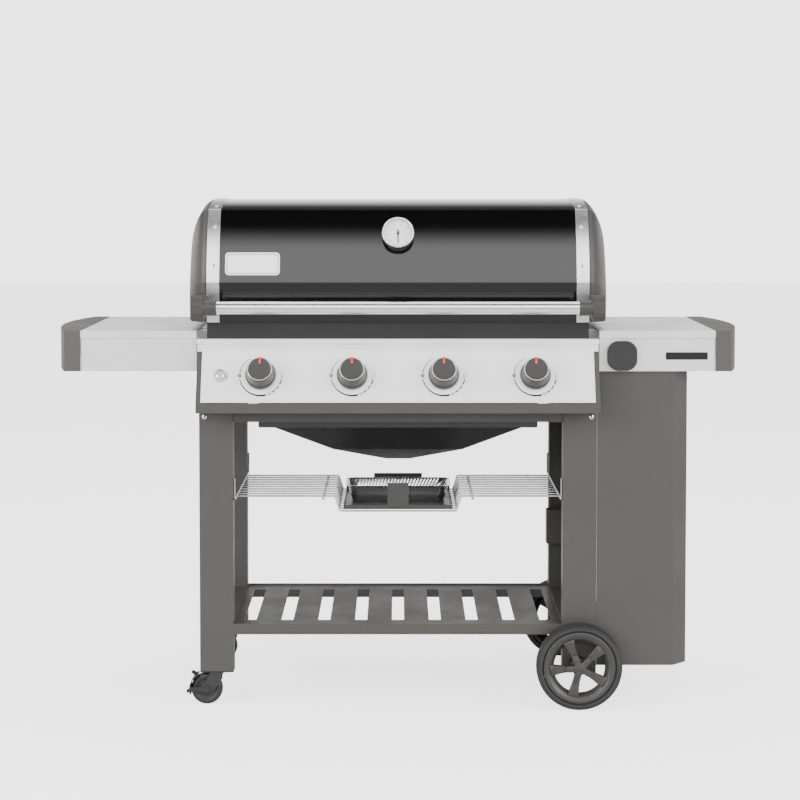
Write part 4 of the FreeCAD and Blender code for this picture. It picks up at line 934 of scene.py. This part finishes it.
@dataclass
class CastorTyre:
    """One castor's wheel, with a rounded tread and a stepped hub on both faces."""

    side: str
    half: float = 14.0 * MM

    def build(self) -> None:
        """Turns the wheel on its own pin."""
        found = joint(f"{self.side}_castor_roll")
        place = seat(found["pos_m"], (0.0, -1.0, 0.0))
        wheel = Maker(f"{self.side}_castor_tread", place)
        flank = [
            (4.1, 1.0), (12.0, 1.0), (13.0, 2.2), (23.5, 2.2), (25.0, 0.6), (31.5, 0.0), (35.5, 2.4),
            (37.1, 5.6), (37.5, 9.0),
        ]
        near = [(reach * MM, -self.half + deep * MM) for reach, deep in flank]
        far = [(reach, -height) for reach, height in reversed(near)]
        wheel.lathe(soften(near + far, 0.8 * MM, 3), 96)
        wheel.piece(f"{self.side}_castor_wheel", "black_plastic", BLACK_PLASTIC, f"{self.side}_castor_wheel")


@dataclass
class FoilPan:
    """The throw-away pan, with crimped walls and a rolled rim."""

    sheet: float = 0.6 * MM
    fold_depth: float = 1.6 * MM
    wall_draw: float = 14.0 * MM
    rim_width: float = 5.0 * MM

    def build(self) -> None:
        """Folds the pan inside the space of its CAD node."""
        low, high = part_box("foil_pan")
        middle = (low + high) / 2
        half_x = (high.x - low.x) / 2 - self.rim_width
        half_y = (high.y - low.y) / 2 - self.rim_width
        levels = [
            (0.0, self.wall_draw + 1 * MM, 0.0), (0.04, self.wall_draw - 1 * MM, 0.4),
            (0.5, self.wall_draw / 2, 1.0), (0.9, 1.6 * MM, 1.0), (0.96, 0.2 * MM, 0.2),
            (0.985, -self.rim_width * 0.6, 0.0), (0.99, -self.rim_width, 0.0),
            (0.955, -self.rim_width * 0.95, 0.0),
        ]
        tall = high.z - low.z
        pan = Maker("crimped_foil_pan", Matrix.Translation((middle.x, middle.y, low.z)))
        rings = []
        for share, draw, crimp in levels:
            outline = self.loop(half_x - draw, half_y - draw, crimp)
            rings.append([pan.mesh.verts.new((*point, share * tall + 0.3 * MM)) for point in outline])
        pan.bridge(rings)
        pan.mesh.faces.new(reversed(rings[0]))
        made = pan.piece("foil_pan", "foil", PAN_FOIL, "foil_pan", smooth=60.0)
        wall = made.modifiers.new("sheet", "SOLIDIFY")
        wall.thickness = self.sheet
        wall.offset = 0.0

    def loop(self, half_x: float, half_y: float, crimp: float) -> Points:
        """Draws one level of the crimped wall.

        Args:
            half_x: Half its length.
            half_y: Half its depth.
            crimp: The folds' strength there.

        Returns:
            The points, anticlockwise, as many at every level.
        """
        corners = soften(rectangle(1.0, half_y / half_x), 0.16, 9)
        points = []
        for index, corner in enumerate(corners):
            here = Vector(corner)
            after = Vector(corners[(index + 1) % len(corners)])
            pieces = 1 if (after - here).length < 0.1 else int((after - here).length * 90)
            points += [here.lerp(after, step / pieces) for step in range(pieces)]
        drawn = []
        for index, point in enumerate(points):
            before = points[index - 1]
            way = (points[(index + 1) % len(points)] - before).normalized()
            wave = math.cos(index * math.tau / 6) * self.fold_depth / 2 * crimp
            drawn.append((point.x * half_x - way.y * wave, point.y * half_x + way.x * wave))
        return drawn


@dataclass
class BadgePlate:
    """The blank plate's raised double border."""

    edge: float = 3.4 * MM
    wide: float = 1.3 * MM

    def build(self) -> None:
        """Raises a dark line inside the plate's edge, on its front face."""
        node = frame["nodes"]["lid_badge"]
        front = max(node.data.polygons, key=lambda face: face.area if face.normal.y < 0 else 0.0)
        low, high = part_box("lid_badge")
        away = front.normal.copy()
        corner = node.data.vertices[front.vertices[0]].co
        middle = (low + high) / 2
        middle += away * (corner - middle).dot(away)
        place = seat(middle, away)
        half_x = (high.x - low.x) / 2 - self.edge
        half_y = 27.0 * MM - self.edge
        line = Maker("lid_badge_border", place)
        outer = soften(rectangle(half_x, half_y), 9.0 * MM, 9)
        inner = soften(rectangle(half_x - self.wide, half_y - self.wide), 8.0 * MM, 9)
        line.band(outer, inner, 0.02 * MM, 0.25 * MM)
        line.piece("lid", "badge_metal", INK_BLACK)


@dataclass
class DomedScrews:
    """The domed heads that hold the trims and the cart, each with its cross-shaped slot drawn as a dark cross of
    painted shade.
    """

    radius: float = 4.6 * MM
    height: float = 2.3 * MM

    def build(self) -> None:
        """Puts a head over each screw of the lid and each bolt of the cart."""
        self.heads("lid_screws", "lid", self.radius, self.height)
        self.heads("cart_bolts", "root", 6.6 * MM, 3.9 * MM)

    def heads(self, node: str, body: str, radius: float, height: float) -> None:
        """Replaces one node's round heads.

        Args:
            node: The CAD node.
            body: The body that they ride on.
            radius: The heads' radius.
            height: How far they stand out.
        """
        stands = screw_stands(node)
        for index, (point, away) in enumerate(stands):
            head = Maker(f"{node}_{index + 1}", seat(point, away))
            dome = [(0.0, 0.0), (radius, 0.0)]
            for turn in (0.25, 0.55, 0.85, 1.15, 1.35):
                dome.append((radius * math.cos(turn), height * math.sin(turn)))
            dome.append((0.0, height))
            head.lathe(dome, 40)
            head.piece(body, "bright_screw", BRIGHT_CHROME, *([node] if index == 0 else []))
            # The cross slot is not cut as a hollow. A thin black cross is laid on the dome as painted shade in its
            # place.
            cross = Maker(f"{node}_{index + 1}_recess_shade", seat(point, away))
            arm, long = 0.13 * radius, 0.52 * radius
            plus = [
                (-arm, -long), (arm, -long), (arm, -arm), (long, -arm), (long, arm), (arm, arm), (arm, long),
                (-arm, long), (-arm, arm), (-long, arm), (-long, -arm), (-arm, -arm),
            ]
            cross.prism(plus, height * 0.8, height)
            cross.piece(body, "plate_black", INK_BLACK)


def screw_stands(node: str) -> list[tuple[Vector, Vector]]:
    """Finds where each head of a CAD node stands and which way it points.

    Args:
        node: The node, whose heads are separate round solids.

    Returns:
        Each head's foot and its outward direction.
    """
    mesh = bmesh.new()
    mesh.from_mesh(frame["nodes"][node].data)
    bmesh.ops.remove_doubles(mesh, verts=mesh.verts, dist=1e-6)
    mesh.faces.index_update()
    stands = []
    left = set(mesh.verts)
    while left:
        group, queue = set(), [next(iter(left))]
        while queue:
            vert = queue.pop()
            if vert in group:
                continue
            group.add(vert)
            queue += [edge.other_vert(vert) for edge in vert.link_edges]
        left -= group
        touched = {face for vert in group for face in vert.link_faces}
        faces = sorted(touched, key=lambda face: face.index)
        foot = max(faces, key=lambda face: face.calc_area())
        foot_faces = [face for face in faces if face.normal.dot(foot.normal) > 0.999]
        area = sum(face.calc_area() for face in foot_faces)
        centre = sum((face.calc_center_median() * face.calc_area() for face in foot_faces), Vector()) / area
        stands.append((centre, -foot.normal))
    mesh.free()
    return sorted(stands, key=lambda stand: (round(stand[0].z, 3), stand[0].x))


ASSEMBLIES = [
    *(ControlKnob(name) for name in KNOBS), PrintedDials(), Thermometer(), BadgePlate(), DomedScrews(),
    BigWheel("front", -1.0), BigWheel("rear", 1.0), CastorTyre("front"), CastorTyre("rear"), FoilPan(),
]


@dataclass
class Studio:
    """The pale floor, the soft lights and the camera."""

    floor_size: float = 40.0
    lens: float = 91.05
    tilt_down: float = math.radians(2.731)
    eye: tuple[float, float, float] = (0.0, -5.002, 1.250)
    shift: tuple[float, float] = (0.0025, -0.153)
    wall_light: float = 2.4
    panel_light: float = 3.6
    dark_room: float = 0.03
    white: float = 3.4
    floor_glow: float = 2.1
    back_wall_top: tuple[float, float] = (0.10, 0.42)
    front_panel_foot: tuple[float, float] = (0.02, 0.18)
    front_panel_top: tuple[float, float] = (0.55, 0.80)

    def build(self) -> None:
        """Makes the whole studio round the grill."""
        self.floor()
        self.sky()
        self.lamp("left_light", (-3.6, -3.2, 1.9), (0.0, 0.0, 0.8), (1.6, 2.4), 120.0)
        self.lamp("right_light", (3.6, -3.2, 1.9), (0.0, 0.0, 0.8), (1.6, 2.4), 95.0)
        self.lamp("top_light", (0.0, 0.4, 3.6), (0.0, 0.0, 0.9), (5.0, 3.0), 130.0)
        self.camera()

    def floor(self) -> None:
        """Lays the plain pale floor."""
        half = self.floor_size / 2
        corners = [(*corner, 0.0) for corner in rectangle(half, half)]
        mesh = bpy.data.meshes.new("studio_floor")
        mesh.from_pydata(corners, [], [(0, 1, 2, 3)])
        floor = bpy.data.objects.new("studio_floor", mesh)
        bpy.context.scene.collection.objects.link(floor)
        made = bpy.data.materials.new("floor_white")
        made.use_nodes = True
        tree = Tree(made.node_tree)
        seen = tree.add("ShaderNodeLightPath", {}).outputs["Is Camera Ray"]
        shader = tree.add("ShaderNodeBsdfPrincipled", {
            "Base Color": (0.85, 0.85, 0.85, 1.0), "Roughness": 0.9, "Emission Color": (1.0, 1.0, 1.0, 1.0),
            "Emission Strength": tree.maths("MULTIPLY", seen, self.floor_glow),
        })
        tree.add("ShaderNodeOutputMaterial", {"Surface": shader.outputs[0]})
        mesh.materials.append(made)

    def sky(self) -> None:
        """Makes a bright low wall behind, and a raised light panel in a dim room in front."""
        world = bpy.data.worlds.new("studio_room")
        world.use_nodes = True
        tree = Tree(world.node_tree)
        way = tree.add("ShaderNodeSeparateXYZ", {0: tree.add("ShaderNodeTexCoord", {}).outputs["Generated"]})
        height = way.outputs["Z"]
        wall = self.fade(tree, height, self.back_wall_top, self.wall_light, self.dark_room)
        rising = self.fade(tree, height, self.front_panel_foot, self.dark_room, self.panel_light)
        falling = self.fade(tree, height, self.front_panel_top, self.panel_light, self.dark_room)
        panel = tree.maths("MINIMUM", rising, falling)
        behind = self.fade(tree, way.outputs["Y"], (-0.35, 0.1), 0.0, 1.0)
        strength = tree.maths("ADD", tree.maths("MULTIPLY", wall, behind),
                              tree.maths("MULTIPLY", panel, tree.maths("SUBTRACT", 1.0, behind)))
        seen = tree.add("ShaderNodeLightPath", {}).outputs["Is Camera Ray"]
        shown = tree.stretch(seen, strength, self.white)
        backdrop = tree.add("ShaderNodeBackground", {"Color": (1.0, 1.0, 1.0, 1.0), "Strength": shown})
        tree.add("ShaderNodeOutputWorld", {"Surface": backdrop.outputs[0]})
        bpy.context.scene.world = world

    @staticmethod
    def fade(tree: Tree, value: Socket, span: tuple[float, float], start: float,
             end: float) -> Socket:
        """Blends smoothly from one strength to another.

        Args:
            tree: The room's tree.
            value: What the blend follows.
            span: Where it starts and ends.
            start: The strength before it.
            end: The strength after it.

        Returns:
            The blended strength.
        """
        inputs = {"Value": value, "From Min": span[0], "From Max": span[1], "To Min": start, "To Max": end}
        return tree.add("ShaderNodeMapRange", inputs, interpolation_type="SMOOTHSTEP").outputs[0]

    def lamp(
        self, name: str, place: Sequence[float], target: Sequence[float], size: tuple[float, float],
        watts: float,
    ) -> None:
        """Hangs one soft rectangular lamp.

        Args:
            name: The lamp's name.
            place: Where it hangs.
            target: The point it shines at.
            size: Its width and height.
            watts: Its power.
        """
        light = bpy.data.lights.new(name, "AREA")
        light.shape = "RECTANGLE"
        light.size = size[0]
        light.size_y = size[1]
        light.energy = watts
        lamp = bpy.data.objects.new(name, light)
        lamp.location = place
        aim = Vector(target) - Vector(place)
        lamp.rotation_euler = aim.to_track_quat("-Z", "Y").to_euler()
        bpy.context.scene.collection.objects.link(lamp)

    def camera(self) -> None:
        """Sets the camera in front of the grill."""
        lens = bpy.data.cameras.new("front_camera")
        lens.lens = self.lens
        lens.sensor_width = 36.0
        lens.shift_x = self.shift[0]
        lens.shift_y = self.shift[1]
        eye = bpy.data.objects.new("front_camera", lens)
        eye.location = self.eye
        eye.rotation_euler = (math.pi / 2 - self.tilt_down, 0.0, 0.0)
        bpy.context.scene.collection.objects.link(eye)
        bpy.context.scene.camera = eye


def dress_frame() -> None:
    """Gives every CAD node the finish of its material slot."""
    slots = {part["node"]: part["material_slot"] for part in frame["record"]["subparts"]}
    for name, part in frame["nodes"].items():
        finish = SLOT_FINISHES[slots[name]]
        part.data.materials.clear()
        part.data.materials.append(finish.material())
        LOG.info("%s has the finish %s", name, finish.name)


def main() -> None:
    """Dresses the frame, builds each finer piece and sets up the studio."""
    logging.basicConfig(level=logging.INFO, format="%(name)s: %(message)s")
    dress_frame()
    for assembly in ASSEMBLIES:
        assembly.build()
    Studio().build()


if __name__ == "__main__":
    main()
